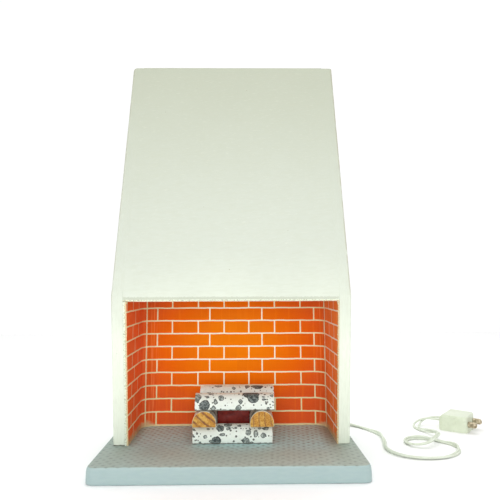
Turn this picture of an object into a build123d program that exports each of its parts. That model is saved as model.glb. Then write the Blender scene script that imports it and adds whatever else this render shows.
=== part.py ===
from build123d import *
import os
from math import cos, sin, radians, sqrt, tan

# Miniature hooded fireplace, millimetres.  +X is to the right as one faces the
# fire, -Y is the front, +Z is up.  The origin is the middle of the underside.

# ---- base ----
base_width = 75.0
base_depth = 52.0
base_thickness = 4.55
base_corner_radius = 1.6

# ---- mantel boards ----
mantel_width = 70.5
mantel_offset = 0.35            # the mantel is glued a little right of the middle
board_thickness = 3.5
hood_board_thickness = 3.0
back_board_thickness = 2.0
mantel_height = 124.3           # above the hearth
bend_height = 43.9              # where the hood begins, above the hearth
foot_setback = 18.95            # side boards behind the front edge of the base, at the hearth
bend_setback = 11.35            # at the bend
top_setback = 36.05             # at the top
edge_radius = 0.6
left_shoulder_radius = 1.3
right_shoulder_radius = 0.7

# ---- firebox ----
opening_height = 42.45
ceiling_thickness = 0.55
ceiling_setback = 0.4           # behind the front edges of the side boards
batten_size = 3.0
liner_thickness = 0.35
liner_gap_left = 0.7            # the card stands off the left board and touches the right one
liner_corner_radius = 4.0       # inside
back_wall_setback = 40.95       # brick face behind the front edge of the base

# ---- logs: halved round sticks, flat side down, bark paper on the round side ----
log_radius = 3.6
bark_thickness = 0.12
lower_log_height = 5.1
cross_log_height = 4.6
upper_log_height = 4.5
front_log_setback = 23.1        # axis of the front logs behind the front edge of the base
back_log_setback = 35.2
long_log_length = 24.2
cross_log_length = 19.8
cross_log_setback = 18.7        # front ends of the cross logs
lower_front_centre = 0.5
upper_front_centre = 1.15
lower_back_centre = 0.7
upper_back_centre = 1.75
cross_log_centres = {"left": -8.0, "right": 9.35}

# ---- ember film and lamp ----
film_thickness = 0.15
film_front_setback = 27.0
film_bend_radius = 2.0
film_top_length = 5.5
film_side_gap = 0.1
lamp_x = 0.6
bulb_radius = 1.65
bulb_glass_wall = 0.2
bulb_tip_setback = 28.0
bulb_glass_length = 5.6
bulb_cap_radius = 1.75
bulb_cap_length = 3.4
holder_radius = 2.1
holder_bore_radius = 1.8
holder_overlap = 2.4            # how far the holder reaches over the bulb cap
holder_flange_radius = 3.4
holder_flange_thickness = 0.8
holder_boss_radius = 1.3
holder_boss_length = 1.1
holder_hole_clearance = 0.05

# ---- lead, bush and plug ----
cord_diameter = 1.35
cord_rest_height = 0.7          # axis of the lead where it lies on the surface
bend_share = 0.45               # part of the shorter run that an arc may use
bush_x = 10.0
bush_height = 7.0
bush_flange_radius = 2.3
bush_flange_thickness = 0.6     # the flange is inside, so the back stays flush
bush_sleeve_radius = 1.5
bush_clearance = 0.05
plug_centre = (81.0, 26.2)
plug_heading = -38.0            # degrees from +X to the way the pins point
plug_approach = 5.4             # straight lead behind the plug
plug_length = 9.8
plug_front_width = 10.0
plug_rear_width = 11.2
plug_height = 5.5
plug_corner_radius = 1.4
plug_edge_radius = 0.5
plug_rear_bevel = 1.5
pin_radius = 1.0
pin_length = 3.0
pin_spacing = 6.5
tang_radius = 0.8               # the part of a pin that is moulded into the body
tang_length = 4.0

# ---- places worked out from the sizes above ----
front_y = -base_depth / 2
back_y = base_depth / 2
hearth_z = base_thickness
bend_z = hearth_z + bend_height
top_z = hearth_z + mantel_height
opening_z = hearth_z + opening_height
lip_z = opening_z + ceiling_thickness
foot_y = front_y + foot_setback
bend_y = front_y + bend_setback
top_y = front_y + top_setback
left_x = mantel_offset - mantel_width / 2
right_x = mantel_offset + mantel_width / 2
inner_left_x = left_x + board_thickness
inner_right_x = right_x - board_thickness
inner_width = inner_right_x - inner_left_x
inner_back_y = back_y - back_board_thickness
bush_start_y = inner_back_y - bush_flange_thickness
brick_face_y = front_y + back_wall_setback
liner_back_y = brick_face_y + liner_thickness
cross_z = hearth_z + lower_log_height
upper_z = cross_z + cross_log_height
front_log_y = front_y + front_log_setback
back_log_y = front_y + back_log_setback
lamp_z = (cross_z + upper_z) / 2


def save(part, name):
    """Write one piece of the assembly."""
    part.label = name
    export_step(part, f"parts/{name}.step")


def side_view(points, x_start, width):
    """Extrude an outline given as (y, z) points, from x_start towards +X."""
    outline = Plane.YZ.offset(x_start) * make_face(Polyline(*points, close=True))
    return extrude(outline, amount=width)


def block(x_range, y_range, z_range):
    """A plain box between two limits along each axis."""
    size = [high - low for low, high in (x_range, y_range, z_range)]
    middle = [(high + low) / 2 for low, high in (x_range, y_range, z_range)]
    return Pos(*middle) * Box(*size)


def rod_along_y(radius, x, y_range, z):
    """A round bar along Y."""
    bar = Cylinder(radius, y_range[1] - y_range[0])
    return Pos(x, sum(y_range) / 2, z) * Rot(-90, 0, 0) * bar


# ---- base ----

def base_board():
    """The painted board that everything stands on, its front corners rounded in plan."""
    body = block((-base_width / 2, base_width / 2), (front_y, back_y), (0, hearth_z))
    upright = body.edges().filter_by(Axis.Z)
    return fillet(upright.group_by(Axis.Y)[0], base_corner_radius)


# ---- mantel boards ----

def slope_point(z, inset=0.0):
    """Where the hood's slope, moved back square to itself by inset, reaches height z."""
    run = top_y - bend_y
    rise = top_z - bend_z
    steepness = sqrt(run ** 2 + rise ** 2) / rise
    return (bend_y + run * (z - bend_z) / rise + inset * steepness, z)


def front_edge_y(z):
    """Front edge of the side boards below the bend, where they lean forward."""
    return foot_y + (bend_y - foot_y) * (z - hearth_z) / bend_height


def side_board(outer_x, inner_x, shoulder_radius):
    """One side board, with its outer front edge and its shoulder softened."""
    points = [(foot_y, hearth_z), (bend_y, bend_z), (top_y, top_z), (back_y, top_z), (back_y, hearth_z)]
    board = side_view(points, min(outer_x, inner_x), board_thickness)
    side = board.faces().sort_by_distance((outer_x, 0, bend_z))[0]
    shoulder = side.edges().group_by(Axis.Z)[-1]
    board = fillet(shoulder, shoulder_radius)
    front = [edge for edge in board.edges() if is_outer_front_edge(edge, outer_x)]
    return fillet(front, edge_radius)


def is_outer_front_edge(edge, outer_x):
    """True for the upright and sloping front edges on the board's outer face."""
    ends = [edge @ 0, edge @ 1]
    on_face = all(abs(end.X - outer_x) < 0.01 for end in ends)
    rises = abs(ends[0].Z - ends[1].Z) > bend_height / 2
    return on_face and rises and all(end.Y < back_y - 1 for end in ends)


def hood_slope_board():
    """The sloping front of the hood, between the side boards, with a blunt lip above the opening."""
    points = [(bend_y, bend_z), (top_y, top_z), slope_point(top_z, hood_board_thickness),
              slope_point(lip_z, hood_board_thickness), (front_edge_y(lip_z), lip_z)]
    return side_view(points, inner_left_x, inner_width)


def hood_top_board():
    """The lid of the hood, flush with the slope board's top edge and with the back."""
    under_z = top_z - hood_board_thickness
    points = [slope_point(under_z, hood_board_thickness), slope_point(top_z, hood_board_thickness),
              (back_y, top_z), (back_y, under_z)]
    return side_view(points, inner_left_x, inner_width)


def back_board():
    """The thin back, under the lid and between the side boards, with the bush's hole."""
    board = block((inner_left_x, inner_right_x), (inner_back_y, back_y),
                  (hearth_z, top_z - hood_board_thickness))
    hole = rod_along_y(bush_sleeve_radius, bush_x, (inner_back_y - 1, back_y + 1), bush_height)
    return board - hole


# ---- firebox ----

def liner_shape(grow):
    """Plan of the firebox, bigger by grow on each side, as a tall solid open to the front."""
    left = inner_left_x + liner_gap_left + liner_thickness - grow
    right = inner_right_x - liner_thickness + grow
    body = block((left, right), (front_y, brick_face_y + grow), (hearth_z, opening_z))
    upright = body.edges().filter_by(Axis.Z)
    return fillet(upright.group_by(Axis.Y)[-1], liner_corner_radius + grow)


def brick_card():
    """The brick-printed card: two sides and a back in one bent piece."""
    card = liner_shape(liner_thickness) - liner_shape(0)
    ahead = front_y - 1
    points = [(ahead, hearth_z), (foot_y, hearth_z), (front_edge_y(opening_z), opening_z),
              (ahead, opening_z)]
    card -= side_view(points, left_x, mantel_width)
    hole = rod_along_y(holder_radius + holder_hole_clearance, lamp_x,
                       (brick_face_y - 1, liner_back_y + 1), lamp_z)
    return card - hole


def ceiling_card():
    """The card that closes the firebox above."""
    y_range = (front_edge_y(opening_z) + ceiling_setback, liner_back_y)
    z_range = (opening_z, lip_z)
    return block((inner_left_x, inner_right_x), y_range, z_range)


def lintel_strip():
    """The strip glued behind the hood's lower edge, on top of the ceiling card."""
    high_z = lip_z + batten_size
    low_y = slope_point(lip_z, hood_board_thickness)[0]
    points = [(low_y, lip_z), slope_point(high_z, hood_board_thickness),
              (low_y + batten_size, high_z), (low_y + batten_size, lip_z)]
    return side_view(points, inner_left_x, inner_width)


# ---- logs ----

def log_section(radius, flat_drop):
    """A circle cut off flat_drop below its middle."""
    cut = Pos(0, -flat_drop - radius) * Rectangle(4 * radius, 2 * radius)
    return Circle(radius) - cut


def log_pieces(height, length):
    """Core and bark of a log along X, its flat at z = 0 and its middle at x = 0."""
    flat_drop = height - log_radius
    plane = Plane.YZ.offset(-length / 2)
    core_section = log_section(log_radius - bark_thickness, flat_drop)
    bark_section = log_section(log_radius, flat_drop) - core_section
    lift = Pos(0, 0, flat_drop)
    core = lift * extrude(plane * core_section, amount=length)
    bark = lift * extrude(plane * bark_section, amount=length)
    return core, bark


def save_log(name, height, length, place):
    """Write a log's two pieces at their place."""
    core, bark = log_pieces(height, length)
    save(place * core, f"log_{name}_core")
    save(place * bark, f"log_{name}_bark")


def save_logs():
    """Two layers of long logs with two cross logs between them."""
    long_logs = [
        ("front_lower", lower_log_height, lower_front_centre, front_log_y, hearth_z),
        ("back_lower", lower_log_height, lower_back_centre, back_log_y, hearth_z),
        ("front_upper", upper_log_height, upper_front_centre, front_log_y, upper_z),
        ("back_upper", upper_log_height, upper_back_centre, back_log_y, upper_z),
    ]
    for name, height, x, y, z in long_logs:
        save_log(name, height, long_log_length, Pos(x, y, z))
    cross_y = front_y + cross_log_setback + cross_log_length / 2
    for side, x in cross_log_centres.items():
        save_log(f"cross_{side}", cross_log_height, cross_log_length,
                 Pos(x, cross_y, cross_z) * Rot(0, 0, 90))


# ---- ember film and lamp ----

def ember_sheet():
    """The red film: upright behind the lower front log, then bent back over the bulb."""
    left = cross_log_centres["left"] + log_radius + film_side_gap
    right = cross_log_centres["right"] - log_radius - film_side_gap
    front = front_y + film_front_setback
    outer = block((left, right), (front, front + film_bend_radius + film_top_length), (hearth_z, upper_z))
    outer = round_upper_front(outer, film_bend_radius)
    inner = block((left, right), (front + film_thickness, back_y), (0, upper_z - film_thickness))
    inner = round_upper_front(inner, film_bend_radius - film_thickness)
    return outer - inner


def round_upper_front(body, radius):
    """Round the edge where a box's front meets its top."""
    edge = body.edges().filter_by(Axis.X).group_by(Axis.Y)[0].sort_by(Axis.Z)[-1]
    return fillet(edge, radius)


def bulb_shape(radius, tip_y, rear_y):
    """A round-nosed bar along Y with its nose to the front."""
    nose_y = tip_y + radius
    nose = Pos(lamp_x, nose_y, lamp_z) * Sphere(radius)
    return rod_along_y(radius, lamp_x, (nose_y, rear_y), lamp_z) + nose


def save_lamp():
    """Bulb glass, its brass cap and the holder that sits in the liner's hole."""
    tip_y = front_y + bulb_tip_setback
    glass_end = tip_y + bulb_glass_length
    cap_end = glass_end + bulb_cap_length
    hollow = bulb_shape(bulb_radius - bulb_glass_wall, tip_y + bulb_glass_wall, glass_end)
    save(bulb_shape(bulb_radius, tip_y, glass_end) - hollow, "bulb_glass")
    save(rod_along_y(bulb_cap_radius, lamp_x, (glass_end, cap_end), lamp_z), "bulb_cap")

    mouth_y = cap_end - holder_overlap
    flange_end = liner_back_y + holder_flange_thickness
    boss_end = flange_end + holder_boss_length
    holder = rod_along_y(holder_radius, lamp_x, (mouth_y, flange_end), lamp_z)
    holder += rod_along_y(holder_flange_radius, lamp_x, (liner_back_y, flange_end), lamp_z)
    holder += rod_along_y(holder_boss_radius, lamp_x, (flange_end, boss_end), lamp_z)
    holder -= rod_along_y(holder_bore_radius, lamp_x, (mouth_y - 1, cap_end), lamp_z)
    save(holder, "lamp_holder")
    return boss_end


# ---- lead and plug ----

def arc_radii(route):
    """For each corner, the largest arc that its two runs allow."""
    points = [Vector(*point) for point in route]
    radii = []
    for before, corner, after in zip(points, points[1:], points[2:]):
        arriving = corner - before
        leaving = after - corner
        turn = arriving.get_angle(leaving)
        shorter = min(arriving.length, leaving.length)
        radii.append(bend_share * shorter / tan(radians(turn / 2)))
    return radii


def lead_tube(route, name):
    """A plain tube of the lead's diameter along straight runs joined by tangent arcs."""
    radii = arc_radii(route)
    path = FilletPolyline(*route, radius=radii)
    start = Plane(origin=path @ 0, z_dir=path % 0)
    tube = sweep(start * Circle(cord_diameter / 2), path=path)
    expected = Circle(cord_diameter / 2).area * path.length
    print(name, "length", round(path.length, 2), "volume", round(tube.volume, 3), "of", round(expected, 3))
    print(name, "radii", [round(radius, 1) for radius in radii])
    return tube


def plug_point(along, across=0.0):
    """A floor point given from the plug's middle, along its heading and to its left."""
    turn = radians(plug_heading)
    return (plug_centre[0] + along * cos(turn) - across * sin(turn),
            plug_centre[1] + along * sin(turn) + across * cos(turn))


def lead_route():
    """The lead: out of the bush, round the right of the hearth, one loop, and into the plug."""
    low = cord_rest_height
    top = low + cord_diameter + 3.0
    entry_z = plug_height / 2
    approach = plug_point(-plug_length / 2 - plug_approach)
    entry = plug_point(-plug_length / 2)
    return [
        (bush_x, bush_start_y, bush_height),
        (bush_x, 29.0, bush_height),
        (11.4, 33.8, 3.6),
        (15.6, 37.4, low),
        (23.6, 39.4, low),
        (33.4, 37.4, low),
        (42.2, 32.2, low),
        (48.8, 24.8, low),
        (51.4, 16.2, low),
        (50.0, 8.2, low),
        (48.0, 0.8, low),
        (51.6, -5.8, low),
        (58.6, -8.2, low),
        (65.8, -6.4, low),
        (71.0, -1.4, low),
        (72.2, 4.8, low),
        (68.6, 9.8, low),
        (63.8, 13.6, low),
        (58.8, 13.0, low),
        (56.3, 8.5, 0.9),
        (58.4, 4.1, 1.8),
        (63.1, 3.4, 3.5),
        (66.1, 6.6, top),
        (69.4, 11.4, top),
        (69.6, 17.0, 3.0),
        (67.2, 22.0, 1.1),
        (66.0, 27.2, low),
        (68.6, 31.6, 1.4),
        (*approach, entry_z),
        (*entry, entry_z),
    ]


def inner_lead_route(boss_end):
    """The lead inside the back, from the lamp holder to the bush."""
    return [
        (lamp_x, boss_end, lamp_z),
        (lamp_x, boss_end + 2.6, lamp_z),
        (3.6, 20.6, 9.6),
        (7.6, 19.8, 7.1),
        (bush_x, 21.2, bush_height),
        (bush_x, bush_start_y, bush_height),
    ]


def bush():
    """The bush in the back board: a sleeve with a flange inside."""
    sleeve = rod_along_y(bush_sleeve_radius, bush_x, (inner_back_y, back_y), bush_height)
    flange = rod_along_y(bush_flange_radius, bush_x, (bush_start_y, inner_back_y), bush_height)
    bore_radius = cord_diameter / 2 + bush_clearance
    bore = rod_along_y(bore_radius, bush_x, (bush_start_y - 1, back_y + 1), bush_height)
    return sleeve + flange - bore


def at_plug(shape):
    """Move a shape made along +X about the origin to the plug's place."""
    return Pos(plug_centre[0], plug_centre[1], 0) * Rot(0, 0, plug_heading) * shape


def pin_places():
    """The two pins' axes, across the plug."""
    return [-pin_spacing / 2, pin_spacing / 2]


def plug_bar(radius, start_x, end_x, y):
    """A round bar along the plug's heading, at half its height."""
    bar = Cylinder(radius, end_x - start_x)
    return Pos((start_x + end_x) / 2, y, plug_height / 2) * Rot(0, 90, 0) * bar


def plug_shell():
    """The plug's body, a little wider at the lead's end, with a bevel above the lead."""
    half_length = plug_length / 2
    front = plug_front_width / 2
    rear = plug_rear_width / 2
    plan = make_face(Polyline((-half_length, -rear), (half_length, -front), (half_length, front),
                              (-half_length, rear), close=True))
    body = extrude(plan, amount=plug_height)
    body = fillet(body.edges().filter_by(Axis.Z), plug_corner_radius)
    body = fillet(body.edges().group_by(Axis.Z)[-1], plug_edge_radius)
    bevel_side = plug_rear_bevel * sqrt(2)
    bevel = Rot(0, 45, 0) * Box(bevel_side, 2 * plug_rear_width, bevel_side)
    body -= Pos(-half_length, 0, plug_height) * bevel
    for y in pin_places():
        body -= plug_bar(tang_radius, half_length - tang_length, half_length, y)
    return at_plug(body)


def plug_pin_pair():
    """Two round-ended brass pins, each with a thinner tang inside the body."""
    face_x = plug_length / 2
    round_x = face_x + pin_length - pin_radius
    pins = []
    for y in pin_places():
        pin = plug_bar(tang_radius, face_x - tang_length, face_x, y)
        pin += plug_bar(pin_radius, face_x, round_x, y)
        pin += Pos(round_x, y, plug_height / 2) * Sphere(pin_radius)
        pins.append(at_plug(pin))
    return Compound(children=pins)


os.makedirs("parts", exist_ok=True)

save(base_board(), "hearth_base")
save(side_board(left_x, inner_left_x, left_shoulder_radius), "side_panel_left")
save(side_board(right_x, inner_right_x, right_shoulder_radius), "side_panel_right")
save(hood_slope_board(), "hood_front")
save(hood_top_board(), "hood_top")
save(back_board(), "back_panel")
save(brick_card(), "brick_liner")
save(ceiling_card(), "firebox_ceiling")
save(lintel_strip(), "lintel_batten")
save_logs()
save(ember_sheet(), "ember_film")
holder_end = save_lamp()
save(lead_tube(inner_lead_route(holder_end), "inner_lead"), "inner_lead")
save(bush(), "cord_bush")
save(lead_tube(lead_route(), "cord_lead"), "cord_lead")
save(plug_shell(), "plug_body")
save(plug_pin_pair(), "plug_pins")
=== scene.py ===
"""A dolls' house hooded fireplace: the looks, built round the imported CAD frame.

Everything is in the row frame and in metres, so sizes are written in
millimetres times MM.  +X is to the right, -Y is the front, +Z is up.
"""
import math
import bmesh
import bpy
import numpy as np
from mathutils import Matrix, Vector, noise


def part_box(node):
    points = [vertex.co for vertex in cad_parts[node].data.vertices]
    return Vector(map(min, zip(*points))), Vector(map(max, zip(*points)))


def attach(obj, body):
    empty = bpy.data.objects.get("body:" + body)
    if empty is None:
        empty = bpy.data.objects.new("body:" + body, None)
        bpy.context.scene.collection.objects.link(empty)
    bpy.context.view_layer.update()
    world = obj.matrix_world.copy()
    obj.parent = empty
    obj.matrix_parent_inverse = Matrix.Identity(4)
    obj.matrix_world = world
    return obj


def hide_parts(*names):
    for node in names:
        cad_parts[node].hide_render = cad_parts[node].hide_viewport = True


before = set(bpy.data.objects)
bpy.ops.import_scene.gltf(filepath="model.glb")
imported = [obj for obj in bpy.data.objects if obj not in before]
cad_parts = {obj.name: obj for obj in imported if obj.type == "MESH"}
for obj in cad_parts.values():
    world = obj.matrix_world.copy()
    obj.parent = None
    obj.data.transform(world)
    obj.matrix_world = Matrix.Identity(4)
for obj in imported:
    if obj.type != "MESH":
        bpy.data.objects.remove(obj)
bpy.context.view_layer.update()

MM = 0.001
BODY = "root"
UP = Vector((0, 0, 1))
NOISE_SEED = 4                  # without a seed, noise_vector differs from run to run
noise.seed_set(NOISE_SEED)


# ======================================================================
# Camera, and the lead's line
# ======================================================================

# The camera stands in front of the hearth at hood height, turned up a little.
CAMERA_PLACE = (3.586, -169.858, 51.333)    # millimetres
CAMERA_TURNS = (("Z", -0.8455), ("X", 90 + 6.684), ("Z", -0.2296))      # yaw, pitch and roll
CAMERA_LENS = 37.82             # for a sensor 36 wide
CAMERA_SHIFT = -0.0503          # upwards


def put_in_scene(name, data):
    """A new object in the scene with this mesh, light or camera."""
    made = bpy.data.objects.new(name, data)
    bpy.context.scene.collection.objects.link(made)
    return made


def make_camera():
    data = bpy.data.cameras.new("camera")
    data.sensor_width = 36
    data.lens = CAMERA_LENS
    data.shift_y = CAMERA_SHIFT
    data.clip_start = 0.01
    camera = put_in_scene("camera", data)
    matrix = Matrix.Translation(Vector(CAMERA_PLACE) * MM)
    for axis, degrees in CAMERA_TURNS:
        matrix = matrix @ Matrix.Rotation(math.radians(degrees), 4, axis)
    camera.matrix_world = matrix
    bpy.context.scene.camera = camera


make_camera()

# The route of the lead, from inside the bush to the plug's rear face.  The
# hump where the lead passes over itself is the last rise before the plug.
LEAD_ROUTE = [
    (0.0100, 0.0234, 0.0070), (0.0100, 0.0290, 0.0070), (0.0114, 0.0338, 0.0036),
    (0.0156, 0.0374, 0.0007), (0.0236, 0.0394, 0.0007), (0.0334, 0.0374, 0.0007),
    (0.0422, 0.0322, 0.0007), (0.0488, 0.0248, 0.0007), (0.0514, 0.0162, 0.0007),
    (0.0500, 0.0082, 0.0007), (0.0480, 0.0008, 0.0007), (0.0516, -0.0058, 0.0007),
    (0.0586, -0.0082, 0.0007), (0.0658, -0.0064, 0.0007), (0.0710, -0.0014, 0.0007),
    (0.0722, 0.0048, 0.0007), (0.0686, 0.0098, 0.0007), (0.0638, 0.0136, 0.0007),
    (0.0588, 0.0130, 0.0007), (0.0563, 0.0085, 0.0008), (0.0584, 0.0041, 0.0010),
    (0.0631, 0.0034, 0.0017), (0.0661, 0.0066, 0.0026), (0.0694, 0.0114, 0.0026),
    (0.0696, 0.0170, 0.0015), (0.0672, 0.0220, 0.0008), (0.0660, 0.0272, 0.0007),
    (0.0686, 0.0316, 0.0012), (0.07288, 0.03254, 0.00275), (0.07714, 0.02922, 0.00275),
]
# The route of the lead inside the back, from the lamp holder to the bush.
INNER_ROUTE = [
    (0.0006, 0.0172, 0.01195), (0.0006, 0.0198, 0.01195), (0.0036, 0.0206, 0.0096),
    (0.0076, 0.0198, 0.0071), (0.0100, 0.0212, 0.0070), (0.0100, 0.0234, 0.0070),
]
LEAD_REST = 0.7 * MM            # height of the route where the lead lies down
STRAND_RADIUS = 0.35 * MM
STRAND_GAP = 0.335 * MM         # from the middle of the lead to the middle of a strand


def smooth_line(route, step):
    """Points about a step apart down one smooth spline with the route as its control points."""
    curve = bpy.data.curves.new("route", "CURVE")
    curve.dimensions = "3D"
    curve.resolution_u = 24
    spline = curve.splines.new("NURBS")
    spline.points.add(len(route) - 1)
    for point, place in zip(spline.points, route):
        point.co = (*place, 1.0)
    spline.order_u = 3
    spline.use_endpoint_u = True
    holder = bpy.data.objects.new("route", curve)
    mesh = bpy.data.meshes.new_from_object(holder)
    dense = point_array(mesh)
    bpy.data.meshes.remove(mesh)
    bpy.data.objects.remove(holder)
    bpy.data.curves.remove(curve)
    along = distances_along(dense)
    places = np.linspace(0, along[-1], int(along[-1] / step) + 2)
    return np.stack([np.interp(places, along, dense[:, k]) for k in range(3)], axis=1)


def distances_along(line):
    """How far along a line each of its points is."""
    return np.concatenate([[0], np.cumsum(np.linalg.norm(np.diff(line, axis=0), axis=1))])


def point_array(mesh):
    """The mesh's points as an array of rows x, y, z."""
    flat = np.zeros(len(mesh.vertices) * 3)
    mesh.vertices.foreach_get("co", flat)
    return flat.reshape(-1, 3)


# ======================================================================
# Mesh making
# ======================================================================

class Surface:
    """Points and faces gathered one grid at a time; points in the same place are welded later."""

    def __init__(self):
        self.points = []
        self.faces = []
        self.looks = []

    def grid(self, rows, look=0, closed=False):
        """Quads between rows of points.  A closed grid joins the end of each row to its start."""
        start = len(self.points)
        count = len(rows[0])
        for row in rows:
            self.points.extend(tuple(point) for point in row)
        for i in range(len(rows) - 1):
            for j in range(count if closed else count - 1):
                here = start + i * count + j
                beside = start + i * count + (j + 1) % count
                self.faces.append((here, beside, beside + count, here + count))
                self.looks.append(look)

    def cap(self, points, look=0):
        """One flat face."""
        start = len(self.points)
        self.points.extend(tuple(point) for point in points)
        self.faces.append(tuple(range(start, start + len(points))))
        self.looks.append(look)

    def sheet(self, outer, inner, look=0):
        """A sheet with a thickness: its outer face, and its inner face and four edges with another look."""
        self.grid(outer)
        self.grid(inner, look)
        for end in (0, -1):
            self.grid([outer[end], inner[end]], look)
            self.grid([[row[end] for row in outer], [row[end] for row in inner]], look)

    def tube(self, rows):
        """Rings of points with both ends closed."""
        self.grid(rows, closed=True)
        self.cap(rows[0])
        self.cap(rows[-1])

    def mesh(self, name, weld=True):
        """A mesh with its normals facing out, welded unless its points must keep their order."""
        made = bpy.data.meshes.new(name)
        made.from_pydata(self.points, [], self.faces)
        made.polygons.foreach_set("material_index", self.looks)
        shape = bmesh.new()
        shape.from_mesh(made)
        if weld:
            bmesh.ops.remove_doubles(shape, verts=shape.verts, dist=0.0005 * MM)
            bmesh.ops.dissolve_degenerate(shape, edges=shape.edges, dist=0.0001 * MM)
        bmesh.ops.recalc_face_normals(shape, faces=shape.faces)
        return finished(shape, made)


def finished(shape, mesh):
    """Put an edited shape into a mesh."""
    shape.to_mesh(mesh)
    shape.free()
    return mesh


def add_piece(name, mesh, looks, slot, nodes=(), sharp=40.0, weighted=False):
    """Put a finished mesh in the scene as a piece that stands for CAD nodes."""
    for look in looks:
        mesh.materials.append(look)
    mesh.shade_smooth()
    mesh.set_sharp_from_angle(angle=math.radians(sharp))
    piece = put_in_scene(name, mesh)
    if weighted:
        piece.modifiers.new("normals", "WEIGHTED_NORMAL").keep_sharp = True
    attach(piece, BODY)
    if nodes:
        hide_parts(*nodes)
    return piece


def set_values(mesh, **named):
    """Store numbers for each point under their names, for the material to read."""
    for name, values in named.items():
        attribute = mesh.attributes.new(name, "FLOAT", "POINT")
        attribute.data.foreach_set("value", np.asarray(values, dtype=np.float32))


def noise_at(x, y, z, size=1.0):
    """Smooth noise at a place, from -1 to 1, with waves of about this size."""
    return noise.noise(Vector((x, y, z)) / size)


def make_uneven(mesh, amount, size, seed):
    """Move every point a little, smoothly, as a handmade surface is."""
    for vertex in mesh.vertices:
        vertex.co += unevenness(vertex.co, size, seed) * amount


def unevenness(place, size, seed):
    """A smooth random vector at a place, from -1 to 1 each way."""
    return noise.noise_vector(Vector(place) / size + Vector((seed, 0, 0)))


def whole_faces(mesh, weld):
    """A mesh as an editable shape, welded and with its flat faces whole."""
    shape = bmesh.new()
    shape.from_mesh(mesh)
    bmesh.ops.remove_doubles(shape, verts=shape.verts, dist=weld)
    bmesh.ops.dissolve_limit(shape, angle_limit=math.radians(1), verts=shape.verts, edges=shape.edges)
    return shape


def round_arrises(shape, radius):
    """Round every edge that turns by more than 30 degrees."""
    edges = [edge for edge in shape.edges
             if len(edge.link_faces) == 2 and edge.calc_face_angle() > math.radians(30)]
    bmesh.ops.bevel(shape, geom=edges, offset=radius, segments=3, profile=0.5,
                    affect="EDGES", clamp_overlap=True)


def slice_up(shape, cell):
    """Cut a shape into cells, so that its flat faces can be made uneven."""
    points = np.array([vertex.co for vertex in shape.verts])
    low = points.min(0)
    size = points.max(0) - low
    for axis in range(3):
        count = int(size[axis] / cell)
        direction = Vector([1.0 if k == axis else 0.0 for k in range(3)])
        for step in range(1, count + 1):
            place = Vector(low) + direction * size[axis] * step / (count + 1)
            everything = list(shape.verts) + list(shape.edges) + list(shape.faces)
            bmesh.ops.bisect_plane(shape, geom=everything, plane_co=place, plane_no=direction)


def add_board(node, look, slot, arris, uneven, seed):
    """A CAD board again, with rounded arrises and a slightly uneven face."""
    shape = whole_faces(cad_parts[node].data, 0.001 * MM)
    round_arrises(shape, arris)
    slice_up(shape, 3 * MM)
    mesh = finished(shape, bpy.data.meshes.new(node + "_shape"))
    make_uneven(mesh, uneven, 9 * MM, seed)
    add_piece(node + "_finished", mesh, [look], slot, [node], sharp=60, weighted=True)


def circle(centre, across, other, radius, sides):
    """Points of a circle in the plane of two directions."""
    angles = [2 * math.pi * k / sides for k in range(sides)]
    return [centre + (across * math.cos(a) + other * math.sin(a)) * radius for a in angles]


def turned_node(node):
    """The start, the radius and the length of a CAD node that is turned about a line along +Y."""
    low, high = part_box(node)
    start = Vector(((low.x + high.x) / 2, low.y, (low.z + high.z) / 2))
    return start, (high.x - low.x) / 2, high.y - low.y


def add_lathed(name, profile, start, look, slot, node):
    """A turned piece along +Y.  The profile is (along, radius) from its start."""
    axis = Vector((0, 1, 0))
    across = axis.orthogonal().normalized()
    other = axis.cross(across)
    surface = Surface()
    surface.grid([circle(start + axis * along, across, other, radius, 40) for along, radius in profile],
                 closed=True)
    add_piece(name, surface.mesh(name), [look], slot, [node])


def directions(line):
    """For each point of a line: the point, and the directions sideways and upwards across the line."""
    for i, centre in enumerate(line):
        before = Vector(line[max(i - 1, 0)])
        after = Vector(line[min(i + 1, len(line) - 1)])
        heading = (after - before).normalized()
        side = heading.cross(UP).normalized()
        yield Vector(centre), side, side.cross(heading)


def tube_rows(line, radius, sides, wave=0.0):
    """Rings of points round a line, for a plain round strand; wave makes it slightly uneven."""
    rows = []
    for centre, side, lift in directions(line):
        size = radius * (1 + wave * noise_at(*centre, 3 * MM))
        rows.append(circle(centre, side, lift, size, sides))
    return rows


# ======================================================================
# Materials
# ======================================================================

def screen_colour(colour):
    """A colour as seen on a screen, 0 to 255, as the linear values that nodes use; a node's output stays."""
    if isinstance(colour, Value):
        return colour
    linear = []
    for part in colour:
        share = part / 255
        linear.append(share / 12.92 if share <= 0.04045 else ((share + 0.055) / 1.055) ** 2.4)
    return (*linear, 1.0)


class Value:
    """A node's output, to do sums with as with a number, or to tint as a colour."""

    def __init__(self, look, socket):
        self.look = look
        self.socket = socket

    def __add__(self, other):
        return self.look.math("ADD", self, other)

    def __sub__(self, other):
        return self.look.math("SUBTRACT", self, other)

    def __rsub__(self, other):
        return self.look.math("SUBTRACT", other, self)

    def __mul__(self, other):
        return self.look.math("MULTIPLY", self, other)

    def __truediv__(self, other):
        return self.look.math("DIVIDE", self, other)

    def __abs__(self):
        return self.look.math("ABSOLUTE", self)

    def fade(self, low, high, start=0.0, end=1.0):
        """A smooth step from start, where the value is low, to end, where it is high."""
        names = ("Value", "From Min", "From Max", "To Min", "To Max")
        made = self.look.node("ShaderNodeMapRange", zip(names, (self, low, high, start, end)),
                              interpolation_type="SMOOTHSTEP")
        return Value(self.look, made.outputs[0])

    def tint(self, colour, share):
        """This colour moved towards another one by a share."""
        return self.look.mix(self, colour, share)


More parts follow.
